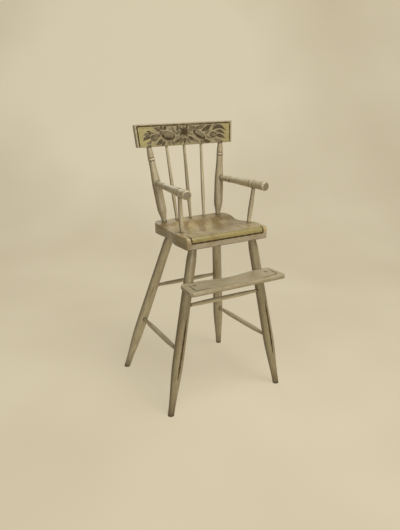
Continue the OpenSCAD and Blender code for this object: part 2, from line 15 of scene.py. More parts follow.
import bpy
import numpy as np
from bpy.types import ID, Material, Node, NodeSocket, NodeTree, Object
from mathutils import Matrix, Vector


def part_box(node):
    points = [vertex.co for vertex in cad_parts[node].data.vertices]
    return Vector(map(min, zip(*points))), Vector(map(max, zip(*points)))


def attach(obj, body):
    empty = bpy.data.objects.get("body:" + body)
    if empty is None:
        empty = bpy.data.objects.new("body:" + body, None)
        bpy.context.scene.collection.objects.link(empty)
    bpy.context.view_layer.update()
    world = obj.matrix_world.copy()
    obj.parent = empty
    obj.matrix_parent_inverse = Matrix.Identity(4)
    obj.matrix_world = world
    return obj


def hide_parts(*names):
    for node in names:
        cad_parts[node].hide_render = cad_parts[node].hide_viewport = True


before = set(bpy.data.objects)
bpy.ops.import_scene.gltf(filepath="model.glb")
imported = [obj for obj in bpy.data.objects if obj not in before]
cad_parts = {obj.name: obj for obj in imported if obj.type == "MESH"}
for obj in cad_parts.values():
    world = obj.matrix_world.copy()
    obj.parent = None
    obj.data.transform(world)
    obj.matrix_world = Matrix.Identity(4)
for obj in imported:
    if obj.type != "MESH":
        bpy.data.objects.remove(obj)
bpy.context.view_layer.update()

logging.basicConfig(level=logging.INFO, format="%(message)s")
log = logging.getLogger("high_chair")

Grid = np.ndarray
Pair = tuple[float, float]
MM = 0.001
FORWARD = np.array([0.0, -1.0, 0.0])
UPWARD = np.array([0.0, 0.0, 1.0])
# The dark mask holds dirt and painted shade, and the pale one paler paint and painted highlights
MASKS = ("wear", "grime", "olive", "pale", "tone")
# From one turning to the next the patterns are read this far on, in mm, so that no two look alike
PATTERN_SHIFT = np.array([370.0, 110.0, 530.0])


class Across(Enum):
    """A choice of place across the chair, seen from the front; the value is its step from the middle."""

    @property
    def label(self) -> str:
        """The place's word in a piece's name."""
        return self.name.lower()


class Side(Across):
    """The two sides of the chair."""

    LEFT = -1
    RIGHT = 1


class Rod(Across):
    """The three spindles."""

    LEFT = -1
    MIDDLE = 0
    RIGHT = 1


# Curves and small sums


def ease(share: Grid) -> Grid:
    """Half a cosine wave that rises from 0 to 1 as share goes from 0 to 1."""
    return (1 - np.cos(np.pi * share)) / 2


def smooth_at(stations: Sequence[Pair], place: Grid) -> Grid:
    """Reads a curve that passes its stations level, eased between each two of them.

    Args:
        stations: pairs of place and height, in rising order.
        place: where the curve is read.

    Returns:
        The height at each place; outside the stations it is the nearest one's.
    """
    xs, ys = np.array(stations, float).T
    i = np.clip(np.searchsorted(xs, place, side="left") - 1, 0, len(xs) - 2)
    share = np.clip((place - xs[i]) / (xs[i + 1] - xs[i]), 0, 1)
    return ys[i] + (ys[i + 1] - ys[i]) * ease(share)


def round_loss(radius: Grid, distance: Grid) -> Grid:
    """What a quarter round takes off at a distance from the edge: radius less the circle's height."""
    inside = np.clip(radius - distance, 0, radius)
    return radius - np.sqrt(np.maximum(radius**2 - inside**2, 0))


def soft_max(a: Grid, b: Grid, blend: float) -> Grid:
    """The greater of a and b, with the crease between them filled by a parabola of width blend."""
    return np.maximum(a, b) + np.maximum(blend - np.abs(a - b), 0) ** 2 / (4 * blend)


def bump(place: Grid, middle: float, reach: float) -> Grid:
    """A bell of height 1 at middle that falls to about a third at reach."""
    return np.exp(-(((place - middle) / reach) ** 2))


def step(place: Grid, low: float, high: float) -> Grid:
    """0 below low and 1 above high, eased between."""
    return ease(np.clip((place - low) / (high - low), 0, 1))


def unit(v: Grid) -> Grid:
    """v at length 1."""
    return v / np.linalg.norm(v)


def join(*parts: Grid) -> Grid:
    """Arrays of one shape, side by side on a new last axis."""
    return np.stack(parts, axis=-1)


# Axes, lofts and pieces


@dataclass(frozen=True)
class Axis:
    """The straight axis of a turned piece, from start to end."""

    start: Grid
    end: Grid

    @property
    def length(self) -> float:
        """Distance from start to end."""
        return float(np.linalg.norm(self.end - self.start))

    @property
    def direction(self) -> Grid:
        """Unit vector from start to end."""
        return unit(self.end - self.start)

    def frame(self) -> Grid:
        """The piece's own frame: z runs along the axis, and x turns to the chair's front, or upwards where the
        axis itself runs to the front. The front less its share along the axis gives x, and the cross
        product y.

        Returns:
            The unit vectors x, y and z, in rows.
        """
        z = self.direction
        facing = FORWARD if abs(z @ FORWARD) < 0.7 else UPWARD
        x = unit(facing - z * (facing @ z))
        return np.stack([x, np.cross(z, x), z])

    def at(self, along: float) -> Grid:
        """The point on the axis at a distance from the start."""
        return self.start + self.direction * along

    def at_height(self, z: float) -> Grid:
        """The point on the axis at a height above the floor."""
        return self.start + (self.end - self.start) * (z - self.start[2]) / (self.end[2] - self.start[2])

    def place(self, local: Grid) -> Grid:
        """Points of the piece's own frame in the chair's frame: start plus x, y and z times their rows."""
        return self.start + local @ self.frame()

    def distance(self, points: Grid) -> Grid:
        """Distance of each point from the nearest place on the axis, which is clamped to its ends.

        Args:
            points: any points.

        Returns:
            The length of each offset from the start, less its share along the axis.
        """
        offset = points - self.start
        along = np.clip(offset @ self.direction, 0, self.length)
        return np.linalg.norm(offset - along[..., None] * self.direction, axis=-1)


@dataclass(frozen=True)
class Contact:
    """A round piece that enters another, so dirt gathers round it."""

    axis: Axis
    radius: float


def entering(diameter: float, *axes: Axis) -> tuple[Contact, ...]:
    """The contacts with round pieces of one diameter."""
    return tuple(Contact(axis, diameter / 2) for axis in axes)


def contact_grime(points: Grid, contacts: Sequence[Contact], spread: float = 3.5) -> Grid:
    """Dirt round joints: it falls off exponentially with the distance from each contact's surface.

    Args:
        points: the surface.
        contacts: the pieces that meet it.
        spread: where the dirt has fallen to a third.

    Returns:
        A share from 0 to 1 for each point.
    """
    grime = np.zeros(points.shape[:-1])
    for contact in contacts:
        gap = np.maximum(contact.axis.distance(points) - contact.radius, 0)
        grime = np.maximum(grime, np.exp(-gap / spread))
    return grime


@dataclass
class Loft:
    """A closed surface of rows of points, with the masks that its paint reads.

    Attributes:
        points: rows by columns by 3, in the chair's frame.
        local: the same points in the piece's own frame, whose z runs with the grain.
        masks: rows by columns for each mask; one that is missing is 0.
    """

    points: Grid
    local: Grid
    masks: dict[str, Grid] = field(default_factory=dict)

    @staticmethod
    def with_poles(values: Grid) -> Grid:
        """Flat list of values, then the mean of the first row and of the last, for the two poles."""
        flat = values.reshape(-1, *values.shape[2:])
        return np.concatenate([flat, [values[0].mean(0), values[-1].mean(0)]])

    def mask(self, name: str) -> Grid:
        """A mask, or zeros where it is missing."""
        return self.masks.get(name, np.zeros(self.points.shape[:2]))

    def faces(self) -> tuple[Grid, Grid]:
        """Joins each point to the next column and row with a quad, and each end row to its pole with a fan.

        Returns:
            Quads and triangles, turned outwards: where the enclosed volume, a sixth of the sum of the
            corners' triple products, comes out negative, every face is reversed.
        """
        rows, columns = self.points.shape[:2]
        index = np.arange(rows * columns).reshape(rows, columns)
        after = np.roll(index, -1, axis=1)
        quads = join(index[:-1], after[:-1], after[1:], index[1:]).reshape(-1, 4)
        pole = np.full(columns, rows * columns)
        fans = np.concatenate([
            join(pole, after[0], index[0]),
            join(pole + 1, index[-1], after[-1]),
        ])
        corners = self.with_poles(self.points)
        corners = corners - corners.mean(0)
        halves = np.concatenate([quads[:, :3], quads[:, [0, 2, 3]], fans])
        a, b, c = (corners[halves[:, i]] for i in range(3))
        if np.einsum("ij,ij->", a, np.cross(b, c)) < 0:
            quads, fans = quads[:, ::-1], fans[:, ::-1]
        return quads, fans


def shown(name: str, data: ID) -> Object:
    """Adds an object to the scene, at the origin and unturned.

    Args:
        name: the object's name.
        data: its mesh, camera or light.

    Returns:
        The object.
    """
    made = bpy.data.objects.new(name, data)
    bpy.context.scene.collection.objects.link(made)
    return made


@dataclass(frozen=True)
class Piece:
    """One object of the scene: its lofts, its finish, and the solids that it stands for."""

    name: str
    lofts: Sequence[Loft]
    material: Material
    slot: str
    nodes: tuple[str, ...] = ()

    def joined(self, values: Callable[[Loft], Grid]) -> Grid:
        """One kind of value from every loft, with the poles', in one list."""
        return np.concatenate([loft.with_poles(values(loft)) for loft in self.lofts])

    def build(self) -> None:
        """Makes the mesh, with every loft's points in one list, and rides it on the chair."""
        firsts = np.cumsum([0] + [loft.points[..., 0].size + 2 for loft in self.lofts])
        faces = [face for loft, first in zip(self.lofts, firsts) for group in loft.faces()
                 for face in (group + first).tolist()]
        mesh = bpy.data.meshes.new(self.name)
        mesh.from_pydata((self.joined(lambda loft: loft.points) * MM).tolist(), [], faces)
        mesh.polygons.foreach_set("use_smooth", np.ones(len(faces), bool))
        local = mesh.attributes.new("local", "FLOAT_VECTOR", "POINT")
        local.data.foreach_set("vector", (self.joined(lambda loft: loft.local) * MM).astype(np.float32).ravel())
        for name in MASKS:
            mask = mesh.attributes.new(name, "FLOAT", "POINT")
            mask.data.foreach_set("value", self.joined(lambda loft: loft.mask(name)).astype(np.float32))
        mesh.materials.append(self.material)
        mesh.update()
        piece = shown(self.name, mesh)
        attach(piece, "root")
        if self.nodes:
            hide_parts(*self.nodes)
        self.report(piece, len(faces))

    def report(self, piece: Object, faces: int) -> None:
        """Logs the piece's faces and how far its box departs from the box of the solids it replaces.

        Args:
            piece: the finished object.
            faces: how many faces it has.
        """
        note = ""
        if self.nodes:
            corners = np.array([corner[:] for corner in piece.bound_box])
            boxes = np.array([[list(corner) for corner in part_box(node)] for node in self.nodes])
            low, high = boxes[:, 0].min(0), boxes[:, 1].max(0)
            off = np.concatenate([corners.min(0) - low, corners.max(0) - high]) / MM
            note = f", off its solid's box by {off.round(1).tolist()} mm"
        log.info("%s: %d faces%s", self.name, faces, note)


# Turned pieces


@dataclass(frozen=True)
class Ring:
    """A rounded band on a turning, between two grooves cut with the corner of the chisel."""

    at: float
    width: float
    radius: float
    proud: float
    groove_w: float = 2.5
    groove_depth: float = 0.8

    @property
    def stations(self) -> tuple[Pair, ...]:
        """The profile's stations from one groove's outer brink, over the band, to the other's.

        Returns:
            Pairs of distance along the axis and radius.
        """
        half, groove = self.width / 2, self.groove_w
        shape = ((-half - groove, 0.0), (-half, -self.groove_depth), (-half + groove, self.proud / 2),
                 (0.0, self.proud), (half - groove, self.proud / 2), (half, -self.groove_depth),
                 (half + groove, 0.0))
        return tuple((self.at + place, self.radius + rise) for place, rise in shape)


@dataclass(frozen=True)
class Rub:
    """A place along a turning where the paint is worn through, or darkened: by dirt, and on some pieces by
    painted shade.
    """

    at: float
    reach: float
    amount: float
    toward: tuple[float, float, float] = (0.0, 0.0, 0.0)


@dataclass(frozen=True)
class Turning:
    """A piece turned on a lathe: a profile of distance along the axis and radius, spun about the axis.

    The radius is eased between the stations, as the turner's tool sweeps. A fraction of a millimetre of
    ovalness is left in it, because the piece was turned green and by hand. Cuts are the normals of the
    planes that end it. Painted side shade is how far its sides are darkened as painted shade, and half as
    far its back.
    """

    axis: Axis
    stations: tuple[Pair, ...]
    rings: tuple[Ring, ...] = ()
    end_rounds: Pair = (1.0, 1.0)
    cuts: tuple[Grid | None, Grid | None] = (None, None)
    rubs: tuple[Rub, ...] = ()
    dark_bands: tuple[Rub, ...] = ()
    tints: dict[str, float] = field(default_factory=dict)
    painted_side_shade: float = 0.0
    contacts: tuple[Contact, ...] = ()
    seams: tuple[float, ...] = ()
    seed: float = 0.0
    columns: int = 64
    spacing: float = 4.0
    ovalness: float = 0.1
    cut_reach: float = 30.0

    @property
    def profile(self) -> tuple[Pair, ...]:
        """The stations with those of the rings among them, in order along the axis."""
        return tuple(sorted(self.stations + tuple(station for ring in self.rings for station in ring.stations)))

    @property
    def ends(self) -> Pair:
        """Distances along the axis at which the piece starts and ends."""
        return self.stations[0][0], self.stations[-1][0]

    def radius_at(self, along: Grid) -> Grid:
        """The profile's radius, less the rounding of the two ends."""
        low, high = self.ends
        return (smooth_at(self.profile, along) - round_loss(self.end_rounds[0], along - low)
                - round_loss(self.end_rounds[1], high - along))

    def samples(self) -> Grid:
        """Places of the rows: even ones, and close ones over the rings and round the ends.

        Returns:
            The places in rising order, each once.
        """
        low, high = self.ends
        turns = 1 - np.sin(np.linspace(0, np.pi / 2, 6))
        rows = [np.linspace(low, high, max(int((high - low) / self.spacing), 8)),
                low + self.end_rounds[0] * turns, high - self.end_rounds[1] * turns]
        rows += [np.arange(ring.stations[0][0] - 1, ring.stations[-1][0] + 1, 0.5) for ring in self.rings]
        return np.unique(np.clip(np.concatenate(rows), low, high).round(3))

    def cut_shift(self, normal: Grid, end: float, along: Grid, theta: Grid, radius: Grid) -> Grid:
        """Slides points along the axis so that an end lies in a plane: by the height of a point's spoke above
        the plane, over the axis's slope to it. The slide fades out away from the end.

        Args:
            normal: the plane's; the axis meets the plane at the end.
            end: the end's distance along the axis.
            along: each row's distance along it.
            theta: each point's angle about it.
            radius: each point's radius.

        Returns:
            The slide of each point.
        """
        x, y, z = self.axis.frame()
        rise = np.cos(theta) * (x @ normal) + np.sin(theta) * (y @ normal)
        fade = np.clip(1 - np.abs(along - end) / self.cut_reach, 0, 1)
        return -radius * rise / (z @ normal) * fade

    def loft(self) -> Loft:
        """Spins the profile: x and y are the radius times the angle's cosine and sine, and z is the distance
        along the axis, slid to any cut at an end.

        Returns:
            The surface, with its wear, its dirt and painted shade, and its painted highlights as masks, and
            each tint added all over to its own.
        """
        theta, along = np.meshgrid(np.linspace(0, 2 * np.pi, self.columns, endpoint=False), self.samples())
        wave = np.sin(2 * theta + self.seed) + 0.5 * np.sin(3 * theta + along / 60 + 2 * self.seed)
        radius = np.maximum(self.radius_at(along) + self.ovalness * (wave - 1.5) / 2, 0.05)
        slide = sum(self.cut_shift(normal, end, along, theta, radius)
                    for normal, end in zip(self.cuts, self.ends) if normal is not None)
        local = join(radius * np.cos(theta), radius * np.sin(theta), along + slide)
        points = self.axis.place(local)
        x, y, _ = self.axis.frame()
        spoke = np.cos(theta)[..., None] * x + np.sin(theta)[..., None] * y
        # painted shade on the sides, and half as much on the back, joins the dirt in the dark mask
        behind = -np.cos(theta)
        shaded_sides = step(behind, -0.85, 0.0) * (1 - 0.5 * step(behind, 0.5, 0.95))
        dirt = np.maximum(self.grime(points, along), self.painted_side_shade * shaded_sides)
        masks = {"wear": self.wear(along, spoke), "grime": dirt, "pale": self.crown_highlights(along)}
        for name, amount in self.tints.items():
            masks[name] = masks.get(name, np.zeros(along.shape)) + amount
        return Loft(points, local + PATTERN_SHIFT * self.seed, masks)

    def wear(self, along: Grid, spoke: Grid) -> Grid:
        """Sum of the rubs, each a bell along the axis that leans to the side it was rubbed from.

        Args:
            along: each point's distance along the axis.
            spoke: each point's unit vector out of it.

        Returns:
            How far the paint is worn through.
        """
        worn = np.zeros(along.shape)
        for rub in self.rubs:
            bell = rub.amount * bump(along, rub.at, rub.reach)
            if any(rub.toward):
                bell = bell * np.clip(0.35 + 0.65 * (spoke @ unit(np.array(rub.toward))), 0, 1)
            worn += bell
        return worn

    def crown_highlights(self, along: Grid) -> Grid:
        """How far the rings' crowns are lightened as a painted highlight: a bell half as wide as each ring."""
        return sum((0.7 * bump(along, ring.at, ring.width / 4) for ring in self.rings), np.zeros(along.shape))

    def grime(self, points: Grid, along: Grid) -> Grid:
        """The greatest of the dirt round the pieces that enter and at the faces it enters itself, the darkening
        in the grooves, and the dark bands, which are dirt on some pieces and painted shade on others.

        Args:
            points: the surface.
            along: each point's distance along the axis.

        Returns:
            The share of darkening at each point.
        """
        dirt = contact_grime(points, self.contacts)
        for seam in self.seams:
            dirt = np.maximum(dirt, np.exp(-np.abs(along - seam) / 3.5))
        for ring in self.rings:
            dirt = np.maximum(dirt, 1.3 * bump(np.abs(along - ring.at), ring.width / 2, 1.5))
        for dark_band in self.dark_bands:
            dirt = np.maximum(dirt, dark_band.amount * bump(along, dark_band.at, dark_band.reach))
        return dirt


# Boards


@dataclass(frozen=True)
class Board:
    """A sawn board with eased edges: a rounded section swept along x between two shaped ends.

    Attributes:
        half_width: half the board's width at a distance a across it.
        span: the low and high edge, across the board, at each share t of the half width.
        thickness: from 0 at the bottom or rear face.
        edge_r: radius of the long edges.
        end_r: radius of the ends' edges.
    """

    half_width: Callable[[Grid], Grid]
    span: Callable[[Grid], tuple[Grid, Grid]]
    thickness: float
    edge_r: float
    end_r: float
    face_rows: int = 36
    edge_rows: int = 5
    stations: int = 120

    def section(self) -> tuple[Grid, Grid, Grid, Grid]:
        """The section as a loop: shares a and b of the straight sides, and offsets ca and cb on the corners.

        Returns:
            The four lists. A point lies at a and b of the core rectangle, moved by ca and cb times the
            edge's radius; the corners' offsets are the sine and cosine of a quarter turn.
        """
        face = np.linspace(0, 1, self.face_rows)
        edge = np.linspace(0, 1, self.edge_rows)
        turn = np.linspace(0, np.pi / 2, 7)[1:-1]
        s, c, one = np.sin(turn), np.cos(turn), np.ones(len(turn))
        parts = [
            (face, 0 * face, 0 * face, 0 * face - 1), (one, 0 * one, s, -c),
            (0 * edge + 1, edge, 0 * edge + 1, 0 * edge), (one, one, c, s),
            (face[::-1], 0 * face + 1, 0 * face, 0 * face + 1), (0 * one, one, -s, c),
            (0 * edge, edge[::-1], 0 * edge - 1, 0 * edge), (0 * one, 0 * one, -c, -s),
        ]
        return tuple(np.concatenate([part[i] for part in parts]) for i in range(4))

    def grid(self) -> tuple[Grid, Grid, Grid]:
        """Sweeps the section along x. Near each end it shrinks by a quarter round, and then to a pole.

        Returns:
            x, the distance across the board, and the distance through it, rows by columns.
        """
        turn = np.linspace(0, np.pi / 2, 6)
        even_t = np.linspace(-1, 1, self.stations)[1:-1]
        t = np.concatenate([-np.ones(9), (even_t + np.sin(even_t * np.pi / 2)) / 2, np.ones(9)])[:, None]
        # Each is a pole's fan, then a quarter round, then the middle: how far a row is pulled in along the
        # board and all round, and how far it is shrunk
        drop, inset, shrink = (
            np.concatenate([fan, curve, np.full(len(even_t), middle), curve[::-1], fan[::-1]])[:, None]
            for fan, curve, middle in (
                (np.zeros(3), self.end_r * (1 - np.cos(turn)), self.end_r),
                (np.full(3, self.end_r), self.end_r * (1 - np.sin(turn)), 0.0),
                (np.array([0.25, 0.55, 0.85]), np.ones(6), 1.0)))
        a, b, ca, cb = self.section()
        low, high = self.span(t)
        reach = self.edge_r - inset
        across = low + self.edge_r + a * (high - low - 2 * self.edge_r) + ca * reach
        through = self.edge_r + b * (self.thickness - 2 * self.edge_r) + cb * reach
        across = (low + high) / 2 + (across - (low + high) / 2) * shrink
        through = self.thickness / 2 + (through - self.thickness / 2) * shrink
        x = t * (self.half_width(across) - drop)
        return x, across, through

    def arris(self, x: Grid, across: Grid, through: Grid, fall: float) -> Grid:
        """1 along the board's sharp edges, falling exponentially away from them. A point's distance from an
        edge is the middle one of its depths under the faces, the long sides and the ends.

        Args:
            x: distance along the board from its middle.
            across: distance across it.
            through: distance through it.
            fall: where the value has fallen to a third.

        Returns:
            The value at each point.
        """
        low, high = self.span(x / self.half_width(across))
        depths = np.sort(np.stack([
            np.minimum(across - low, high - across), np.minimum(through, self.thickness - through),
            self.half_width(across) - np.abs(x)]), axis=0)
        return np.exp(-np.maximum(depths[1], 0) / fall)


# Painted strokes


@dataclass(frozen=True)
class Stroke:
    """One brush stroke or stencilled shape: a path on a painted face, with half its width along it."""

    path: Grid
    half: Grid
    tone: float = 0.0
    layer: int = 0
    fade: Grid | None = None

    LIFT = 0.12
    LAYER_LIFT = 0.005
    SINK = 0.3

    def loft(self, skin: Callable[[Grid, Grid], Grid]) -> Loft:
        """Lays the stroke on its face as a flat skin of paint, closed underneath. A point is the path's, moved
        square to the path by a share of the half width, and lifted by the paint's thickness, which falls at
        the stroke's sides and dips into the wood.

        Args:
            skin: gives the chair's point for a place on the face and a height above it.

        Returns:
            Its loft, with its tone and how far it has faded as masks.
        """
        top = self.LIFT + self.LAYER_LIFT * self.layer
        share = np.array([-1, -1, -0.8, -0.4, 0, 0.4, 0.8, 1, 1, 0.5, 0, -0.5])
        height = np.array([-self.SINK, 0.3 * top, top, top, top, top, top, 0.3 * top] + [-self.SINK] * 4)
        tangent = np.gradient(self.path, axis=0)
        tangent /= np.linalg.norm(tangent, axis=1, keepdims=True)
        square = join(tangent[:, 1], -tangent[:, 0])
        place = self.path[:, None] + square[:, None] * (self.half[:, None] * share)[..., None]
        rise = np.broadcast_to(height, place.shape[:2])
        points = skin(place, rise)
        local = np.concatenate([place, np.zeros((*place.shape[:2], 1))], axis=-1)[..., [1, 2, 0]]
        fade = np.zeros(len(self.path)) if self.fade is None else self.fade
        full = np.ones(place.shape[:2])
        return Loft(points, local, {"tone": full * self.tone, "wear": full * fade[:, None]})


def even(path: Grid, spacing: float) -> Grid:
    """The path with its points at an even spacing, read off its running length.

    Args:
        path: points in order.
        spacing: the distance between two points, which is stretched to fit.

    Returns:
        The same path with new points.
    """
    run = np.concatenate([[0], np.cumsum(np.linalg.norm(np.diff(path, axis=0), axis=1))])
    places = np.linspace(0, run[-1], max(int(run[-1] / spacing), 4))
    return join(*(np.interp(places, run, column) for column in path.T))


def rounded(corners: Sequence[Pair], radius: float, spacing: float = 1.5) -> Grid:
    """A path through corners, each rounded by a parabola that starts and ends a radius from the corner.

    Args:
        corners: the ends and the corners between them.
        radius: how far from a corner its curve starts.
        spacing: the distance between two points.

    Returns:
        Even points along the path.
    """
    points = np.array(corners, float)
    share = np.linspace(0, 1, 9)[:, None]
    parts = [points[:1]]
    for before, corner, after in zip(points[:-2], points[1:-1], points[2:]):
        a, b = corner + unit(before - corner) * radius, corner + unit(after - corner) * radius
        parts.append((1 - share) ** 2 * a + 2 * share * (1 - share) * corner + share**2 * b)
    parts.append(points[-1:])
    return even(np.concatenate(parts), spacing)


def brushed(length: int, half: float, taper: int, seed: float) -> Grid:
    """Half widths of a line drawn by hand: it starts and ends thin, and two slow sine waves swell and thin it.

    Args:
        length: the number of the path's points.
        half: the usual half width.
        taper: over how many points each end thins.
        seed: shifts the waves.

    Returns:
        The half width at each point.
    """
    i = np.arange(length)
    ends = np.sqrt(np.clip((np.minimum(i, length - 1 - i) + 0.1) / taper, 0, 1))
    return half * ends * (1 + 0.12 * np.sin(i * 0.31 + seed) + 0.08 * np.sin(i * 0.83 + 2 * seed))


def tilted(u: Grid, v: Grid, tilt: float) -> Grid:
    """Flat points u, v turned about their origin by tilt, in degrees."""
    c, s = cos(radians(tilt)), sin(radians(tilt))
    return join(u * c - v * s, u * s + v * c)


# Finishes


def linear(code: str) -> tuple[float, float, float, float]:
    """An sRGB hex colour as linear light, by the curve of the sRGB standard.

    Args:
        code: the colour as written.

    Returns:
        Linear red, green and blue, with alpha 1.
    """
    parts = np.array([int(code[i:i + 2], 16) for i in (1, 3, 5)]) / 255
    parts = np.where(parts <= 0.04045, parts / 12.92, ((parts + 0.055) / 1.055) ** 2.4)
    return (*(float(p) for p in parts), 1.0)


def per_metre(size_mm: float) -> float:
    """The texture scale at which one feature is about size_mm across."""
    return 1 / (size_mm * MM)


def add(tree: NodeTree, kind: str, inputs: dict | None = None, **settings: object) -> Node:
    """Adds a node with its settings and links.

    Args:
        tree: the tree that gets the node.
        kind: the node's type, less the word ShaderNode.
        inputs: for each input's name or number, an output to link it to or a constant.
        settings: the node's own properties.

    Returns:
        The node.
    """
    node = tree.nodes.new(f"ShaderNode{kind}")
    for key, value in settings.items():
        setattr(node, key, value)
    for key, value in (inputs or {}).items():
        if isinstance(value, NodeSocket):
            tree.links.new(value, node.inputs[key])
        else:
            node.inputs[key].default_value = value
    return node


def new_tree(name: str) -> tuple[Material, NodeTree]:
    """A material with an empty node tree.

    Args:
        name: the material's name.

    Returns:
        The material and its tree.
    """
    material = bpy.data.materials.new(name)
    material.use_nodes = True
    material.node_tree.nodes.clear()
    return material, material.node_tree


@dataclass(frozen=True)
class OilPaint:
    """Thin linseed-oil paint, brushed by hand on maple and pine and worn by two centuries of use.

    It is opaque and matt to satin. The eye sees soft brown and olive clouds in it, fine brush streaks
    along each piece, wood where hands and feet rub, and dark dirt in the corners. Its dark mask also lays in
    painted shade, and its pale mask painted highlights.
    """

    name: str
    base: str
    cloud: str
    streak: str
    patch: str
    olive: str
    pale: str
    wood: str = "#96744a"
    dirt: str = "#46392a"
    roughness: float = 0.34
    specular: float = 0.6
    relief: float = 0.45
    worn: float = 0.10
    patch_share: float = 0.5
    crackle: float = 0.25
    cloud_mm: float = 45.0
    # Real brush streaks are under 1 mm apart; these are as coarse as the picture needs to show them
    streak_mm: float = 4.0
    streak_stretch: float = 16.0
    patch_mm: float = 60.0
    speck_mm: float = 3.2
    crackle_mm: float = 8.0
    paint_depth_mm: float = 0.35

    def build(self) -> Material:
        """Layers the colours from the base up, each by its own pattern or mask, and raises the brush streaks.

        Returns:
            The material.
        """
        material, tree = new_tree(self.name)
        place = add(tree, "Attribute", attribute_name="local").outputs["Vector"]
        wear, grime, olive, pale, tone = (
            add(tree, "Attribute", attribute_name=name).outputs["Fac"] for name in MASKS
        )
        along = add(tree, "Mapping", {"Vector": place, "Scale": (1.0, 1.0, 1 / self.streak_stretch)})
        drawn = add(tree, "Mapping", {"Vector": place, "Scale": (1.0, 1.0, 0.35)})
        cloud, streak, patch, speck = (
            add(tree, "TexNoise", {
                "Vector": vector, "Scale": per_metre(size), "Detail": detail, "Roughness": grit}).outputs["Fac"]
            for vector, size, detail, grit in (
                (place, self.cloud_mm, 3.0, 0.6),
                (along.outputs["Vector"], self.streak_mm, 4.0, 0.65),
                (drawn.outputs["Vector"], self.patch_mm, 4.0, 0.55),
                (drawn.outputs["Vector"], self.speck_mm, 5.0, 0.7),
            )
        )
        cells = add(tree, "TexVoronoi", {
            "Vector": drawn.outputs["Vector"], "Scale": per_metre(self.crackle_mm), "Randomness": 1.0},
            feature="DISTANCE_TO_EDGE").outputs["Distance"]
        # Each mask has a share of a pattern added, so its border is ragged
        rubbed, darkened_share, olived, pale_and_highlight_share, browned = (
            add(tree, "Math", {0: pattern, 1: share, 2: mask}, operation="MULTIPLY_ADD").outputs[0]
            for pattern, share, mask in (
                (speck, 1.5, wear), (speck, 0.5, grime), (cloud, 0.5, olive), (cloud, 0.5, pale),
                (patch, 3.0, tone))
        )
        # Each layer: what it reads, from where to where it fades in, how far it covers, and its colour
        layers = (
            (cloud, 0.40, 0.62, 1.0, self.cloud),
            (olived, 0.25, 1.25, 1.0, self.olive),
            # paler paint, and painted highlights, from the pale mask
            (pale_and_highlight_share, 0.25, 1.25, 1.0, self.pale),
            (browned, 1.50, 2.20, self.patch_share, self.patch),
            (streak, 0.46, 0.72, 0.55, self.streak),
            (cells, 0.05, 0.0, self.crackle, self.dirt),
            # dirt, and painted shade, from the dark mask
            (darkened_share, 0.33, 1.20, 0.85, self.dirt),
            (rubbed, 1.17 - self.worn, 1.37 - self.worn, 0.9, self.wood),
        )
        colour: object = linear(self.base)
        for source, low, high, cover, layer in layers:
            share = add(tree, "MapRange", {
                "Value": source, "From Min": low, "From Max": high, "To Max": cover},
                interpolation_type="SMOOTHSTEP").outputs["Result"]
            colour = add(tree, "Mix", {0: share, 6: colour, 7: linear(layer)}, data_type="RGBA").outputs[2]
        height = add(tree, "Math", {0: speck, 1: 0.35, 2: streak}, operation="MULTIPLY_ADD").outputs[0]
        # The last share is that of the bare wood, which lies lower than the paint
        height = add(tree, "Math", {0: share, 1: -0.6, 2: height}, operation="MULTIPLY_ADD").outputs[0]
        raised = add(tree, "Bump", {
            "Height": height, "Strength": self.relief, "Distance": self.paint_depth_mm * MM}).outputs["Normal"]
        rough = add(tree, "MapRange", {
            "Value": streak, "From Min": 0.3, "From Max": 0.7,
            "To Min": self.roughness - 0.07, "To Max": self.roughness + 0.12}).outputs["Result"]
        shader = add(tree, "BsdfPrincipled", {
            "Base Color": colour, "Roughness": rough, "Normal": raised, "IOR": 1.48,
            "Specular IOR Level": self.specular})
        add(tree, "OutputMaterial", {"Surface": shader.outputs["BSDF"]})
        return material


@dataclass(frozen=True)
class LinePaint:
    """Dark umber striping and stencil paint over the oil paint: thin, a little glossy, and rubbed in places.

    The tone mask runs from the dark umber to the lightest bronze powder, and the wear mask lets the
    ground show through.
    """

    name: str
    dark: str
    light: str
    ground: str
    roughness: float = 0.5
    worn: float = 0.12
    speck_mm: float = 3.5
    cloud_mm: float = 14.0

    def build(self) -> Material:
        """Runs dark to light by the tone with a little cloud in it, then shows the ground where it has rubbed
        off.

        Returns:
            The material.
        """
        material, tree = new_tree(self.name)
        place = add(tree, "Attribute", attribute_name="local").outputs["Vector"]
        wear, tone = (
            add(tree, "Attribute", attribute_name=name).outputs["Fac"] for name in ("wear", "tone"))
        cloud, speck = (
            add(tree, "TexNoise", {
                "Vector": place, "Scale": per_metre(size), "Detail": detail, "Roughness": grit}).outputs["Fac"]
            for size, detail, grit in ((self.cloud_mm, 3.0, 0.6), (self.speck_mm, 4.0, 0.7))
        )
        shift = add(tree, "Math", {0: cloud, 1: 0.7, 2: -0.35}, operation="MULTIPLY_ADD").outputs[0]
        toned = add(tree, "Math", {0: tone, 1: shift}, operation="ADD", use_clamp=True).outputs[0]
        painted = add(tree, "Mix", {0: toned, 6: linear(self.dark), 7: linear(self.light)},
                      data_type="RGBA").outputs[2]
        rubbed = add(tree, "Math", {0: speck, 1: 1.4, 2: self.worn - 0.7}, operation="MULTIPLY_ADD")
        rubbed = add(tree, "Math", {0: wear, 1: rubbed.outputs[0]}, operation="ADD").outputs[0]
        bare = add(tree, "MapRange", {"Value": rubbed, "From Min": 0.3, "From Max": 0.65},
                   interpolation_type="SMOOTHSTEP").outputs["Result"]
        colour = add(tree, "Mix", {0: bare, 6: painted, 7: linear(self.ground)}, data_type="RGBA").outputs[2]
        raised = add(tree, "Bump", {"Height": speck, "Strength": 0.3, "Distance": 0.15 * MM})
        shader = add(tree, "BsdfPrincipled", {
            "Base Color": colour, "Normal": raised.outputs["Normal"], "Roughness": self.roughness, "IOR": 1.48,
            "Specular IOR Level": 0.2})
        add(tree, "OutputMaterial", {"Surface": shader.outputs["BSDF"]})
        return material


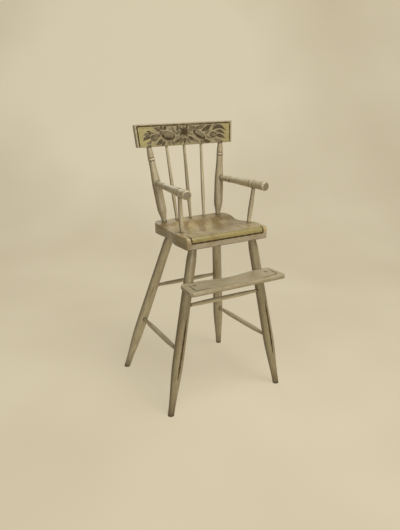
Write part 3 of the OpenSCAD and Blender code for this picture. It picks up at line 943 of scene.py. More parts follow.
@dataclass(frozen=True)
class WroughtIron:
    """Hand-forged iron, hammered, painted over and worn: dull drab and pitted, with rust in the pits."""

    name: str = "wrought_iron_nails"
    metal: str = "#877a5d"
    rust: str = "#75634a"
    pit_mm: float = 1.4

    def build(self) -> Material:
        """Mixes rust into the metal by a fine noise, and pits the surface with the same noise.

        Returns:
            The material.
        """
        material, tree = new_tree(self.name)
        place = add(tree, "Attribute", attribute_name="local").outputs["Vector"]
        pits = add(tree, "TexNoise", {
            "Vector": place, "Scale": per_metre(self.pit_mm), "Detail": 4.0, "Roughness": 0.65}).outputs["Fac"]
        share = add(tree, "MapRange", {"Value": pits, "From Min": 0.42, "From Max": 0.6}).outputs["Result"]
        colour = add(tree, "Mix", {0: share, 6: linear(self.metal), 7: linear(self.rust)},
                     data_type="RGBA").outputs[2]
        raised = add(tree, "Bump", {"Height": pits, "Strength": 0.6, "Distance": 0.2 * MM})
        shader = add(tree, "BsdfPrincipled", {
            "Base Color": colour, "Normal": raised.outputs["Normal"], "Roughness": 0.62, "Metallic": 0.2})
        add(tree, "OutputMaterial", {"Surface": shader.outputs["BSDF"]})
        return material


@dataclass(frozen=True)
class EndGrain:
    """Riven maple pins seen on their end grain: close dark rings and open pores, darkened by oil and dirt."""

    name: str = "maple_end_grain"
    light: str = "#8d6b43"
    dark: str = "#553b22"
    ring_mm: float = 1.1

    def build(self) -> Material:
        """Bands across the pin, bent by a noise, run from light to dark; the same bands are slightly raised.

        Returns:
            The material.
        """
        material, tree = new_tree(self.name)
        place = add(tree, "Attribute", attribute_name="local").outputs["Vector"]
        rings = add(tree, "TexWave", {
            "Vector": place, "Scale": per_metre(self.ring_mm) / 20, "Distortion": 2.0, "Detail": 3.0,
            "Detail Scale": 2.0}, wave_type="BANDS", bands_direction="X").outputs["Fac"]
        colour = add(tree, "Mix", {0: rings, 6: linear(self.dark), 7: linear(self.light)},
                     data_type="RGBA").outputs[2]
        raised = add(tree, "Bump", {"Height": rings, "Strength": 0.3, "Distance": 0.1 * MM})
        shader = add(tree, "BsdfPrincipled", {
            "Base Color": colour, "Normal": raised.outputs["Normal"], "Roughness": 0.65, "IOR": 1.5})
        add(tree, "OutputMaterial", {"Surface": shader.outputs["BSDF"]})
        return material


@dataclass
class Finishes:
    """Every finish of the chair, built once and shared by its pieces."""

    turnings: Material = field(default_factory=OilPaint(
        "drab_oil_paint_on_turned_maple", base="#9a8d6e", cloud="#8a7e5a", streak="#6c5f43", patch="#907757",
        olive="#8e8556", pale="#c6b893").build)
    seat: Material = field(default_factory=OilPaint(
        "drab_oil_paint_on_pine_plank", base="#b39d6e", cloud="#a8956a", streak="#9f8a5c", patch="#7c6640",
        olive="#958651", pale="#a2947a", roughness=0.27, relief=0.15, worn=0.03, patch_share=0.85, crackle=0.3,
        cloud_mm=70.0, streak_mm=10.0).build)
    crest: Material = field(default_factory=OilPaint(
        "yellow_olive_oil_paint_on_pine_board", base="#978a68", cloud="#8e815c", streak="#776a4b",
        patch="#877450", olive="#a39762", pale="#ab9e7e", patch_share=0.3, crackle=0.3, worn=0.04).build)
    footrest: Material = field(default_factory=OilPaint(
        "olive_drab_oil_paint_on_pine_footboard", base="#b2a483", cloud="#a89c78", streak="#76684b",
        patch="#a48c6c", olive="#a69b6f", pale="#b9ac8d", patch_share=0.35, streak_mm=6.0).build)
    lines: Material = field(default_factory=LinePaint(
        "umber_striping_paint", dark="#43341d", light="#6a583a", ground="#a0926f").build)
    stencil: Material = field(default_factory=LinePaint(
        "umber_and_bronze_stencil_paint", dark="#3b2f1a", light="#998c6c", ground="#988b6a", worn=0.0).build)
    iron: Material = field(default_factory=WroughtIron().build)
    pins: Material = field(default_factory=EndGrain().build)

    def turned(self, node: str, turning: Turning) -> Piece:
        """A turned and painted piece that stands for one node."""
        return Piece(f"{node}_turned", [turning.loft()], self.turnings, "painted_turnings", (node,))


# The chair


@dataclass(frozen=True)
class Layout:
    """Where the pieces meet, with the values of the part's source."""

    seat_underside_h: float = 543.0
    rods_seat_h: float = 578.0
    supports_seat_h: float = 579.88
    middle_back: float = 159.7315
    front_leg_top: Pair = (107.5, 34.0)
    front_foot: Pair = (208.5, 5.0)
    rear_leg_top: Pair = (87.5, 219.0)
    rear_foot: Pair = (201.5, 382.0)
    rods_seat_back: float = 235.0
    post_seat_x: float = 103.5
    post_crest_x: float = 134.0
    crest_underside_h: float = 818.0
    crest_underside_back: float = 274.0
    crest_lean: float = 7.6
    spindle_seat_pitch: float = 52.0
    spindle_crest_pitch: float = 64.5
    spindle_seat_shift: float = 5.0
    spindle_crest_shift: float = 6.5
    arm_root_h: float = 703.0
    arm_tip: tuple[float, float, float] = (139.0, 8.0, 708.0)
    support_foot: Pair = (123.5, 76.0)
    support_at: float = 190.0
    bracket_h: float = 419.2
    bracket_len: float = 62.0
    side_stretcher_h: Pair = (211.0, 184.0)
    rear_stretcher_h: float = 341.5
    front_stretcher_h: float = 358.5
    swell_radius: float = 17.75
    leg_tenon_d: float = 25.0
    rod_tenon_d: float = 11.5
    post_seat_d: float = 16.5
    post_crest_d: float = 17.0
    spindle_end_d: float = 9.0
    rod_seat_tenon: float = 17.0
    arm_tenon_d: float = 14.0
    support_end_d: float = 12.5

    def point(self, side: Side, place: Pair, z: float) -> Grid:
        """A point from its distance to the middle plane and behind the seat's front edge, and its height."""
        return np.array([side.value * place[0], place[1] - self.middle_back, z])

    def front_leg(self, side: Side) -> Axis:
        """Axis of a front leg, from the floor to the seat's underside."""
        return Axis(self.point(side, self.front_foot, 0.0),
                    self.point(side, self.front_leg_top, self.seat_underside_h))

    def rear_leg(self, side: Side) -> Axis:
        """Axis of a rear leg, from the floor to the seat's underside."""
        return Axis(self.point(side, self.rear_foot, 0.0),
                    self.point(side, self.rear_leg_top, self.seat_underside_h))

    def rod(self, seat_x: float, crest_x: float) -> Axis:
        """Axis of a post or spindle, from the seat's top to the crest rail's underside."""
        return Axis(np.array([seat_x, self.rods_seat_back - self.middle_back, self.rods_seat_h]),
                    np.array([crest_x, self.crest_underside_back - self.middle_back, self.crest_underside_h]))

    def post(self, side: Side) -> Axis:
        """Axis of a back post."""
        return self.rod(side.value * self.post_seat_x, side.value * self.post_crest_x)

    def spindle(self, rod: Rod) -> Axis:
        """Axis of a spindle."""
        return self.rod(rod.value * self.spindle_seat_pitch - self.spindle_seat_shift,
                        rod.value * self.spindle_crest_pitch - self.spindle_crest_shift)

    def back(self, post_d: float) -> tuple[Contact, ...]:
        """The contacts with the two posts, whose diameter differs at their two ends, and the three spindles."""
        return entering(post_d, *map(self.post, Side)) + entering(self.spindle_end_d, *map(self.spindle, Rod))

    def arm(self, side: Side) -> Axis:
        """Axis of an arm, from the middle of its post to its front end."""
        return Axis(self.post(side).at_height(self.arm_root_h),
                    self.point(side, self.arm_tip[:2], self.arm_tip[2]))

    def support(self, side: Side) -> Axis:
        """Axis of an arm support, from the seat's top to the middle of the arm."""
        return Axis(self.point(side, self.support_foot, self.supports_seat_h),
                    self.arm(side).at(self.support_at))

    def bracket(self, side: Side) -> Axis:
        """Axis of a footrest bracket, from the middle of the leg to its front end."""
        root = self.front_leg(side).at_height(self.bracket_h)
        return Axis(root, root + FORWARD * self.bracket_len)

    def side_stretcher(self, side: Side) -> Axis:
        """Axis of a side stretcher, from the rear leg to the front leg."""
        z = self.side_stretcher_h[0 if side is Side.LEFT else 1]
        return Axis(self.rear_leg(side).at_height(z), self.front_leg(side).at_height(z))

    def front_stretcher(self) -> Axis:
        """Axis of the stretcher between the front legs."""
        return Axis(*(self.front_leg(side).at_height(self.front_stretcher_h) for side in Side))

    def rear_stretcher(self) -> Axis:
        """Axis of the stretcher between the rear legs."""
        return Axis(*(self.rear_leg(side).at_height(self.rear_stretcher_h) for side in Side))

    def crest_frame(self) -> Grid:
        """Rows of the crest rail's frame: along it, up its face, and out of its front face."""
        sine, cosine = sin(radians(self.crest_lean)), cos(radians(self.crest_lean))
        return np.array([[1, 0, 0], [0, sine, cosine], [0, -cosine, sine]])


@dataclass(frozen=True)
class Assembly:
    """What every sub-assembly of the chair is given."""

    layout: Layout
    finishes: Finishes


@dataclass(frozen=True)
class LegSet(Assembly):
    """Four splayed legs, each turned to a long swell low down and a short neck under the seat.

    The front legs carry one dark painted line down the front of the swell.
    """

    foot_d: float = 21.0
    swell_d: float = 35.5
    swell_up: float = 186.0
    shoulder_d: float = 31.0
    neck_len: float = 46.0
    tenon_len: float = 20.0
    foot_round: float = 1.6
    line_half_w: float = 3.0
    line_from: float = 126.0
    line_to: float = 332.0
    line_step: float = 2.0

    def turning(self, axis: Axis, contacts: Sequence[Contact], seed: float, tints: dict[str, float],
                shade: float = 0.0) -> Turning:
        """One leg. Its foot is cut off level with the floor and soiled, and its shin is scuffed.

        Args:
            axis: from the floor to the seat's underside.
            contacts: the pieces that enter it.
            seed: what makes it unlike the others.
            tints: what is added all over it to each mask.
            shade: how far painted shadow darkens it under the seat.

        Returns:
            The leg's turning.
        """
        length, tenon = axis.length, self.layout.leg_tenon_d / 2
        return Turning(
            axis,
            ((0.0, self.foot_d / 2), (self.swell_up, self.swell_d / 2),
             (length - self.neck_len, self.shoulder_d / 2), (length, tenon), (length + self.tenon_len, tenon)),
            end_rounds=(self.foot_round, 1.0), cuts=(UPWARD, None),
            rubs=(Rub(60.0, 45.0, 0.12), Rub(300.0, 90.0, 0.10, (0.0, -1.0, 0.0))),
            # dirt at the foot and at the top, and painted shadow under the seat by the shade
            dark_bands=(Rub(0.0, 18.0, 1.0), Rub(0.0, 60.0, 0.6), Rub(length, 10.0, 0.6),
                   Rub(length - 55.0, 42.0, shade)),
            tints=tints, painted_side_shade=0.6, contacts=contacts, seams=(length,), seed=seed, columns=72,
        )

    def line(self, lean: float) -> Stroke:
        """The painted line: a path up the front of the leg that leans across it, with a slow sine wave in it.

        Args:
            lean: how far it moves across in 100 mm, which also tells its brush marks from the other's.

        Returns:
            The line, in places round the leg and along it.
        """
        along = np.arange(self.line_from, self.line_to, self.line_step)
        across = lean * (along - along.mean()) / 100 + 0.4 * np.sin(along / 31)
        return Stroke(join(across, along), brushed(len(along), self.line_half_w, 22, lean), tone=0.1)

    def skin(self, turning: Turning, place: Grid, rise: Grid) -> Grid:
        """Wraps a flat place about a leg: it is turned by the arc's length over the radius.

        Args:
            turning: the leg.
            place: the arc from its front, and the distance along it.
            rise: how far the point stands out.

        Returns:
            The points in the chair's frame.
        """
        radius = turning.radius_at(place[..., 1])
        theta, out = place[..., 0] / radius, radius + rise
        return turning.axis.place(join(out * np.cos(theta), out * np.sin(theta), place[..., 1]))

    def pieces(self) -> list[Piece]:
        """The four legs and the two painted lines.

        Returns:
            The pieces of the left side, then the right one's.
        """
        made = []
        lay, rod_d = self.layout, self.layout.rod_tenon_d
        # each side: how pale the rear leg is, the front leg's painted shadow under the seat, and the line's
        # lean
        for side, rear_pale, front_shade, lean in ((Side.LEFT, 0.9, 0.35, 1.4), (Side.RIGHT, 0.6, 0.0, 0.9)):
            front = self.turning(
                lay.front_leg(side),
                entering(rod_d, lay.side_stretcher(side), lay.front_stretcher(), lay.bracket(side)),
                1.3 + side.value, {"olive": 0.35, "tone": 0.3, "pale": 0.25}, front_shade)
            rear = self.turning(
                lay.rear_leg(side), entering(rod_d, lay.side_stretcher(side), lay.rear_stretcher()),
                4.1 + side.value, {"pale": rear_pale})
            made += [
                self.finishes.turned(f"front_leg_{side.label}", front),
                self.finishes.turned(f"rear_leg_{side.label}", rear),
                Piece(f"front_leg_{side.label}_line", [self.line(lean).loft(partial(self.skin, front))],
                      self.finishes.lines, "painted_turnings"),
            ]
        return made


@dataclass(frozen=True)
class StretcherSet(Assembly):
    """Four plain stretchers that swell a little between their tapered ends."""

    side_d: float = 17.0
    cross_d: float = 14.5
    leg_d: float = 34.0
    taper_share: float = 0.25

    def pieces(self) -> list[Piece]:
        """The two side stretchers, the front one and the rear one, each between two legs.

        Returns:
            The four pieces.
        """
        lay = self.layout
        front, rear = (list(map(leg, Side)) for leg in (lay.front_leg, lay.rear_leg))
        left, right = map(lay.side_stretcher, Side)
        tenon, end = lay.swell_radius, lay.rod_tenon_d / 2
        # axis, thickness, legs, how worn its top is by feet, how far painted light pales it, and painted side
        # shade
        rods = {
            "side_stretcher_left": (left, self.side_d, (front[0], rear[0]), 0.1, 1.2, 0.25),
            "side_stretcher_right": (right, self.side_d, (front[1], rear[1]), 0.1, 1.2, 0.25),
            "front_stretcher": (lay.front_stretcher(), self.cross_d, front, 0.3, 1.0, 0.9),
            "rear_stretcher": (lay.rear_stretcher(), self.cross_d, rear, 0.05, 1.2, 0.35),
        }
        made = []
        for name, (axis, diameter, legs, rub, pale, painted_side_shade) in rods.items():
            length, middle = axis.length, diameter / 2
            taper = length * self.taper_share
            made.append(self.finishes.turned(name, Turning(
                axis,
                ((0.0, end), (tenon, end), (tenon + taper, middle), (length - tenon - taper, middle),
                 (length - tenon, end), (length, end)),
                rubs=(Rub(length / 2, length / 3, rub, (0.0, -0.3, 1.0)),), tints={"pale": pale},
                painted_side_shade=painted_side_shade, contacts=entering(self.leg_d, *legs), seed=7.0 + len(made), columns=48,
            )))
        return made


@dataclass(frozen=True)
class Footrest(Assembly):
    """A thick board with a curve cut into its rear edge, nailed to two pegs that stand in the front legs."""

    top_h: float = 437.0
    thickness: float = 12.5
    rear_w: float = 330.0
    front_w: float = 344.0
    reach: float = 73.5
    rear_back: float = 17.0
    waist: float = 16.0
    corner_r: float = 9.0
    edge_r: float = 2.6
    bracket_d: float = 13.0
    leg_d: float = 33.0
    nail_head_d: float = 7.0
    nail_head_t: float = 1.2
    nail_shank_d: float = 3.0
    nail_depth: float = 8.0
    nail_ahead: float = 44.0
    line_half_w: float = 1.9

    def half_width(self, back: Grid) -> Grid:
        """Half the width at a distance behind the seat's front edge: it narrows evenly to the rear."""
        share = (back + self.reach) / (self.reach + self.rear_back)
        return (self.front_w + (self.rear_w - self.front_w) * share) / 2

    def span(self, t: Grid) -> tuple[Grid, Grid]:
        """The front and rear edges: each loses a quarter round at the ends, and the rear is cut in by half a
        cosine wave between the legs.

        Args:
            t: share of the half width, from -1 to 1.

        Returns:
            The distance of each edge behind the seat's front edge.
        """
        gap = (1 - np.abs(t)) * self.front_w / 2
        leg_x = abs(self.layout.front_leg(Side.RIGHT).at_height(self.top_h)[0])
        x = np.abs(t) * self.rear_w / 2
        cut = self.waist * (1 - ease(np.minimum(1, x / leg_x)))
        loss = round_loss(self.corner_r, gap)
        return -self.reach + loss, self.rear_back - cut - loss

    def skin(self, place: Grid, rise: Grid) -> Grid:
        """A place on the board's top: x, the distance behind the seat's front edge, and the height above it."""
        return join(place[..., 0], place[..., 1] - self.layout.middle_back, self.top_h + rise)

    def board(self) -> Loft:
        """The board, worn where feet stand and along its front edge, with painted shade on its sides, its
        underside and its lower edges.

        Returns:
            Its loft, whose grain runs along x.
        """
        board = Board(self.half_width, self.span, self.thickness, self.edge_r, self.edge_r, face_rows=44)
        x, back, up = board.grid()
        points = self.skin(join(x, back), up - self.thickness)
        edge = board.arris(x, back, up, 1.6)
        top = step(up, self.thickness - 1, self.thickness)
        feet = 0.22 * top * bump(np.abs(x), 60, 38) * bump(back, -35, 26)
        nose = 0.30 * bump(back, -self.reach, 7) * (0.5 + 0.5 * bump(x, 0, 110)) * step(up, 4, 10)
        # the lower edges, darkened as painted shade
        under = edge * (1 - step(up, 5, 8))
        nails = (Axis(foot, foot + UPWARD * 20) for foot in map(self.nail_foot, Side))
        dirt = contact_grime(points, entering(self.leg_d, *map(self.layout.front_leg, Side))
                             + entering(self.nail_head_d, *nails))
        masks = {
            "wear": 0.2 * edge * (1 - under) + feet + nose,
            # dirt round the legs and nails, and painted shade on all faces but the top and on the lower edges
            "grime": np.maximum(dirt, 0.35 * (1 - top) * (1 - edge) + 0.75 * under),
            "olive": 0.25 * step(-x, 20, 140) * top,
            "pale": 0.4 * step(-x, 40, 120) * top,
        }
        return Loft(points, join(points[..., 1], points[..., 2], points[..., 0]), masks)

    def bracket(self, side: Side) -> Turning:
        """A peg from the leg under the board, turned with a tenon that enters the leg."""
        tenon, length, end = self.layout.swell_radius, self.layout.bracket_len, self.layout.rod_tenon_d / 2
        return Turning(
            self.layout.bracket(side),
            ((0.0, end), (tenon, end), (tenon + self.bracket_d / 2, self.bracket_d / 2),
             (length, self.bracket_d / 2)),
            end_rounds=(0.5, 1.8), contacts=entering(self.leg_d, self.layout.front_leg(side)),
            rubs=(Rub(length, 5.0, 0.35),), seed=12.0 + side.value, columns=40,
        )

    def nail_foot(self, side: Side) -> Grid:
        """The point at which a nail's tip ends in its peg."""
        root = self.layout.bracket(side).start
        return np.array([root[0], root[1] - self.nail_ahead, self.top_h - self.thickness - self.nail_depth])

    def nail(self, side: Side) -> Loft:
        """A hand-forged nail with a low domed head of uneven facets, from its tip upwards.

        Args:
            side: the board's end that it holds.

        Returns:
            The nail's loft.
        """
        foot, top = self.nail_foot(side), self.thickness + self.nail_depth
        head, shank = self.nail_head_d / 2, self.nail_shank_d / 2
        return Turning(
            Axis(foot, foot + UPWARD * top),
            ((0.0, shank), (top - 0.02, shank), (top, head), (top + self.nail_head_t * 0.4, head * 0.97),
             (top + self.nail_head_t, head * 0.55)),
            end_rounds=(0.5, 0.6), seed=3.0 * side.value, columns=24, spacing=1.0, ovalness=0.35,
        ).loft()

    def lines(self) -> list[Stroke]:
        """What is left of the painted border: a corner at each end, fading towards the middle of the board.

        Returns:
            Both ends' lines, in places of x and back.
        """
        left = rounded([(-146.0, -5.0), (-148.0, -55.0), (-96.0, -58.0)], 5.0)
        right = rounded([(84.0, -63.0), (152.0, -51.0), (151.0, -8.0)], 5.0)
        return [
            Stroke(path, brushed(len(path), self.line_half_w, 10, seed), tone=0.2,
                   fade=np.linspace(start, end, len(path)))
            for path, seed, start, end in ((left, 0.4, 0.0, 0.32), (right, 2.1, 0.22, 0.10))
        ]

    def pieces(self) -> list[Piece]:
        """The board, its two pegs, its nails and its painted border."""
        return [
            Piece("footrest_board_sawn", [self.board()], self.finishes.footrest, "painted_footrest",
                  ("footrest_board",)),
            *(self.finishes.turned(f"footrest_bracket_{side.label}", self.bracket(side)) for side in Side),
            Piece("footrest_nails_forged", list(map(self.nail, Side)), self.finishes.iron, "iron_nails",
                  ("footrest_nails",)),
            Piece("footrest_line", [stroke.loft(self.skin) for stroke in self.lines()], self.finishes.lines,
                  "painted_footrest"),
        ]


@dataclass(frozen=True)
class SeatPlank(Assembly):
    """A thick pine plank, waisted in plan and hollowed on top, with a rolled front edge.

    A dark line follows the rolled edge, with its ends turned up on to the top. The band above the line
    is olive and the band under it is pale.
    """

    depth: float = 262.0
    width_stations: tuple[Pair, ...] = (
        (0.0, 146.0), (68.0, 148.5), (160.0, 134.0), (212.0, 138.0))
    thickness_stations: tuple[Pair, ...] = ((50.0, 38.0), (160.0, 29.5), (210.0, 35.0))
    floor_stations: tuple[Pair, ...] = ((14.0, 39.0), (146.0, 23.5), (221.0, 36.0))
    cheek_stations: tuple[Pair, ...] = ((48.0, 22.5), (113.0, 39.0))
    front_t: float = 38.0
    front_corner_r: float = 9.0
    rear_corner_r: float = 34.0
    roll_r: float = 12.0
    rear_ease_r: float = 6.0
    side_ease_r: float = 3.6
    end_ease_r: float = 0.7
    bottom_ease_r: float = 2.2
    columns: int = 480
    line_half_w: float = 2.6
    line_up: float = 20.0

    def half_width(self, back: Grid) -> Grid:
        """Half the width at a distance behind the front edge, less what the rounded corners take off."""
        return (smooth_at(self.width_stations, back) - round_loss(self.front_corner_r, back)
                - round_loss(self.rear_corner_r, self.depth - back))

    def rolled(self, back: Grid) -> Grid:
        """Thickness from front to rear, less the roll of the front edge and the easing of the rear one."""
        return (smooth_at(self.thickness_stations, back) - round_loss(self.roll_r, back)
                - round_loss(self.rear_ease_r, self.depth - back))

    def top(self, x: Grid, back: Grid) -> Grid:
        """Thickness of the hollowed plank: the lesser of the rolled thickness and the hollow, which is the
        greater of its floor, that rises to front and rear, and its cheeks, that rise to the sides."""
        hollow = soft_max(smooth_at(self.floor_stations, back), smooth_at(self.cheek_stations, np.abs(x)), 3.0)
        return -soft_max(-self.rolled(back), -hollow, 1.2)

    def outline(self) -> tuple[Grid, Grid]:
        """The plan as an even loop: up the right side, back down the left one, and then spaced anew.

        Returns:
            The points of x and back, and the unit vectors that point out of the loop, square to its run.
        """
        back = self.depth * ease(np.linspace(0, 1, 200))
        right = join(self.half_width(back), back)
        loop = np.concatenate([right, right[::-1] * np.array([-1, 1]), right[:1]])
        run = float(np.linalg.norm(np.diff(loop, axis=0), axis=1).sum())
        loop = even(loop, run / (self.columns + 1.5))[:-1]
        tangent = np.roll(loop, -1, axis=0) - np.roll(loop, 1, axis=0)
        normal = join(tangent[:, 1], -tangent[:, 0])
        return loop, normal / np.linalg.norm(normal, axis=1, keepdims=True)

    def rings(self) -> tuple[Grid, Grid]:
        """Rings round the plank, from a pole in the middle of its top to one under its middle. Those of the
        top and the underside are the outline shrunk towards the middle, those of the edges are moved
        inwards by a quarter round, and those of the wall only go down.

        Returns:
            The places, rows by columns by x and back, and the heights above the underside.
        """
        outline, normal = self.outline()
        centre = np.array([0.0, self.depth / 2])
        ease_r = (self.end_ease_r + (self.side_ease_r - self.end_ease_r) * normal[:, 0] ** 2)[:, None]
        near = np.array([26, 22, 19, 16.5, 14.5, 13, 11.5, 10, 8.5, 7, 5.6, 4.3, 3.1, 2.1, 1.3, 0.7, 0.3, 0.0])
        shares = 1 - np.concatenate([np.linspace(0.985, 0.22, 34), near / (self.depth / 2)])
        inner = outline - normal * ease_r
        places = [centre + (inner - centre) * share for share in shares]
        heights = [self.top(place[:, 0], place[:, 1]) for place in places]
        for turn in np.linspace(0, np.pi / 2, 7)[1:]:
            place = outline - normal * ease_r * (1 - sin(turn))
            places.append(place)
            heights.append(self.top(place[:, 0], place[:, 1]) - ease_r[:, 0] * (1 - cos(turn)))
        brink = heights[-1]
        for share in np.linspace(0, 1, 13)[1:]:
            places.append(outline)
            heights.append(brink + (self.bottom_ease_r - brink) * share)
        for turn in np.linspace(0, np.pi / 2, 6)[1:]:
            places.append(outline - normal * self.bottom_ease_r * (1 - cos(turn)))
            heights.append(np.full(len(outline), self.bottom_ease_r * (1 - sin(turn))))
        under = places[-1]
        for share in (0.985, 0.9, 0.75, 0.6, 0.45, 0.3, 0.15, 0.03):
            places.append(centre + (under - centre) * share)
            heights.append(np.zeros(len(outline)))
        return np.array(places), np.array(heights)

    def plank(self) -> Loft:
        """The plank, worn in the hollow and on the roll, olive above the line and pale below it, with soft
        brown painted reflections of the spindles that run askew through the hollow, a paler painted sheen
        between them, a painted highlight along the roll, and painted shade along its underside.

        Returns:
            Its loft, whose grain runs along y.
        """
        place, up = self.rings()
        x, back = place[..., 0], place[..., 1]
        points = join(x, back - self.layout.middle_back, self.layout.seat_underside_h + up)
        top = step(up, 20, 22)
        side = self.half_width(np.clip(back, 0, self.depth)) - np.abs(x)
        rim = np.exp(-np.abs(side - 1.5) / 2.5) * step(up, 24, 28)
        sat = bump(x, 0, 88) * bump(back, 145, 80) * top
        roll = bump(back, 6, 9) * bump(x, 0, 105) * top
        hollow = bump(back, 128, 78)
        askew = x - 0.53 * (back - 150)
        # painted reflections: dark bands askew through the hollow, where the spindles would be mirrored
        painted_reflections = step(back, 25, 110) * (bump(askew, -66, 11) + bump(askew, -9, 11) + bump(askew, 43, 14))
        # painted sheen: paler patches between the painted reflections
        sheen = bump(back, 140, 48) * (bump(askew, -38, 17) + bump(askew, 17, 16))
        front = step(self.line_up - up, 0, 1) * step(-back, -2.5, -1)
        lay = self.layout
        contacts = entering(lay.leg_tenon_d, *map(lay.front_leg, Side), *map(lay.rear_leg, Side))
        contacts += lay.back(lay.post_seat_d) + entering(lay.support_end_d, *map(lay.support, Side))
        masks = {
            "wear": 0.06 * sat + 0.08 * roll + 0.05 * rim,
            # dirt round the joints, and painted shade on the underside and its bottom edge
            "grime": np.maximum(contact_grime(points, contacts), 0.8 * np.exp(-np.maximum(up - 1, 0) / 1.5)),
            "olive": top * np.maximum((1 - step(back, 8, 18)) * (np.abs(x) < 131),
                                      0.5 * bump(x, -62, 34) * hollow + 0.35 * bump(back, 60, 32))
                     + 0.6 * (1 - top) * step(-x, 110, 125),
            # the band under the front line is pale paint, the walls are paler, and the bell on the roll is a
            # painted highlight
            "pale": np.maximum(np.maximum(front, 0.65 * (1 - top)),
                               0.95 * top * bump(back, 23, 13) * bump(x, 10, 120)),
            # brown tone with the painted reflections in it, kept off the painted sheen
            "tone": top * (1 - sheen) * ((0.2 + 1.5 * painted_reflections + 0.7 * step(askew, 44, 66)) * hollow
                                         + (0.4 + 0.4 * step(x, -30, 10)) * step(back, 165, 195)),
        }
        return Loft(points, join(x, up, back), masks)

    def skin(self, place: Grid, rise: Grid) -> Grid:
        """Wraps a flat place over the front edge. The first straight, then a quarter circle and then the top's
        own height give the distance back and the height.

        Args:
            place: x, and the distance up the front, round the roll and on to the top.
            rise: how far the point stands out.

        Returns:
            The points in the chair's frame.
        """
        x, run = place[..., 0], place[..., 1]
        straight = self.front_t - self.roll_r
        turn = np.clip((run - straight) / self.roll_r, 0, np.pi / 2)
        flat = np.maximum(run - straight - self.roll_r * np.pi / 2, 0)
        back = self.roll_r * (1 - np.cos(turn)) + flat - rise * np.cos(turn)
        arc = np.minimum(run, straight) + self.roll_r * np.sin(turn)
        up = np.where(flat > 0, self.top(x, self.roll_r + flat), arc) + rise * np.sin(turn)
        return join(x, back - self.layout.middle_back, self.layout.seat_underside_h + up)

    def line(self) -> Stroke:
        """The dark line along the front, with both ends turned up over the roll."""
        path = rounded([(-130.5, 66.0), (-131.0, 44.0), (-129.0, self.line_up - 0.5),
                        (127.0, self.line_up + 0.5), (128.5, 52.0)], 3.5, 1.2)
        return Stroke(path, brushed(len(path), self.line_half_w, 14, 0.7), tone=0.05)

    def pieces(self) -> list[Piece]:
        """The plank and its painted line."""
        return [
            Piece("seat_plank_hollowed", [self.plank()], self.finishes.seat, "painted_seat", ("seat",)),
            Piece("seat_front_line", [self.line().loft(self.skin)], self.finishes.lines, "painted_seat"),
        ]


@dataclass(frozen=True)
class RodBack(Assembly):
    """Two turned posts with a ring near the top, and three slim spindles between them."""

    swell_d: float = 30.0
    swell_up: float = 46.0
    swell_len: float = 62.0
    ring_d: float = 21.5
    ring_down: float = 39.0
    ring_w: float = 10.0
    ring_proud: float = 1.4
    spindle_d: float = 12.0
    crest_tenon: float = 19.0

    def post(self, side: Side) -> Turning:
        """A post: it swells low down, narrows to its ring, and is cut off along the crest rail's underside.

        Args:
            side: the side it stands on.

        Returns:
            The post's turning.
        """
        lay = self.layout
        axis, foot = lay.post(side), lay.post_seat_d / 2
        length = axis.length
        return Turning(
            axis,
            ((-lay.rod_seat_tenon, foot), (0.0, foot), (self.swell_up, self.swell_d / 2),
             (self.swell_up + self.swell_len, self.swell_d / 2), (length, lay.post_crest_d / 2)),
            rings=(Ring(length - self.ring_down, self.ring_w, self.ring_d / 2, self.ring_proud),),
            end_rounds=(0.5, 0.6), cuts=(None, lay.crest_frame()[1]),
            rubs=(Rub(self.swell_up + 30.0, 60.0, 0.10, (0.0, -1.0, 0.2)),), tints={"pale": 0.5}, painted_side_shade=0.6,
            contacts=entering(lay.arm_tenon_d, lay.arm(side)), seams=(0.0, length), seed=15.0 + side.value,
        )

    def spindle(self, rod: Rod) -> Turning:
        """A spindle, fullest a third of the way up, with both ends sunk in the seat and the crest rail.

        Args:
            rod: which of the three it is.

        Returns:
            The spindle's turning.
        """
        axis, end = self.layout.spindle(rod), self.layout.spindle_end_d / 2
        length = axis.length
        return Turning(
            axis,
            ((-self.layout.rod_seat_tenon, end), (0.0, end), (length / 3, self.spindle_d / 2), (length, end),
             (length + self.crest_tenon, end)),
            rubs=(Rub(length / 2, 70.0, 0.10, (0.0, -1.0, 0.0)),), tints={"pale": 0.25 + 0.3 * abs(rod.value)},
            painted_side_shade=0.7, seams=(0.0, length), seed=19.0 + rod.value, columns=40,
        )

    def pieces(self) -> list[Piece]:
        """The two posts and the three spindles."""
        return [self.finishes.turned(f"back_post_{side.label}", self.post(side)) for side in Side] + [
            self.finishes.turned(f"back_spindle_{rod.label}", self.spindle(rod)) for rod in Rod]


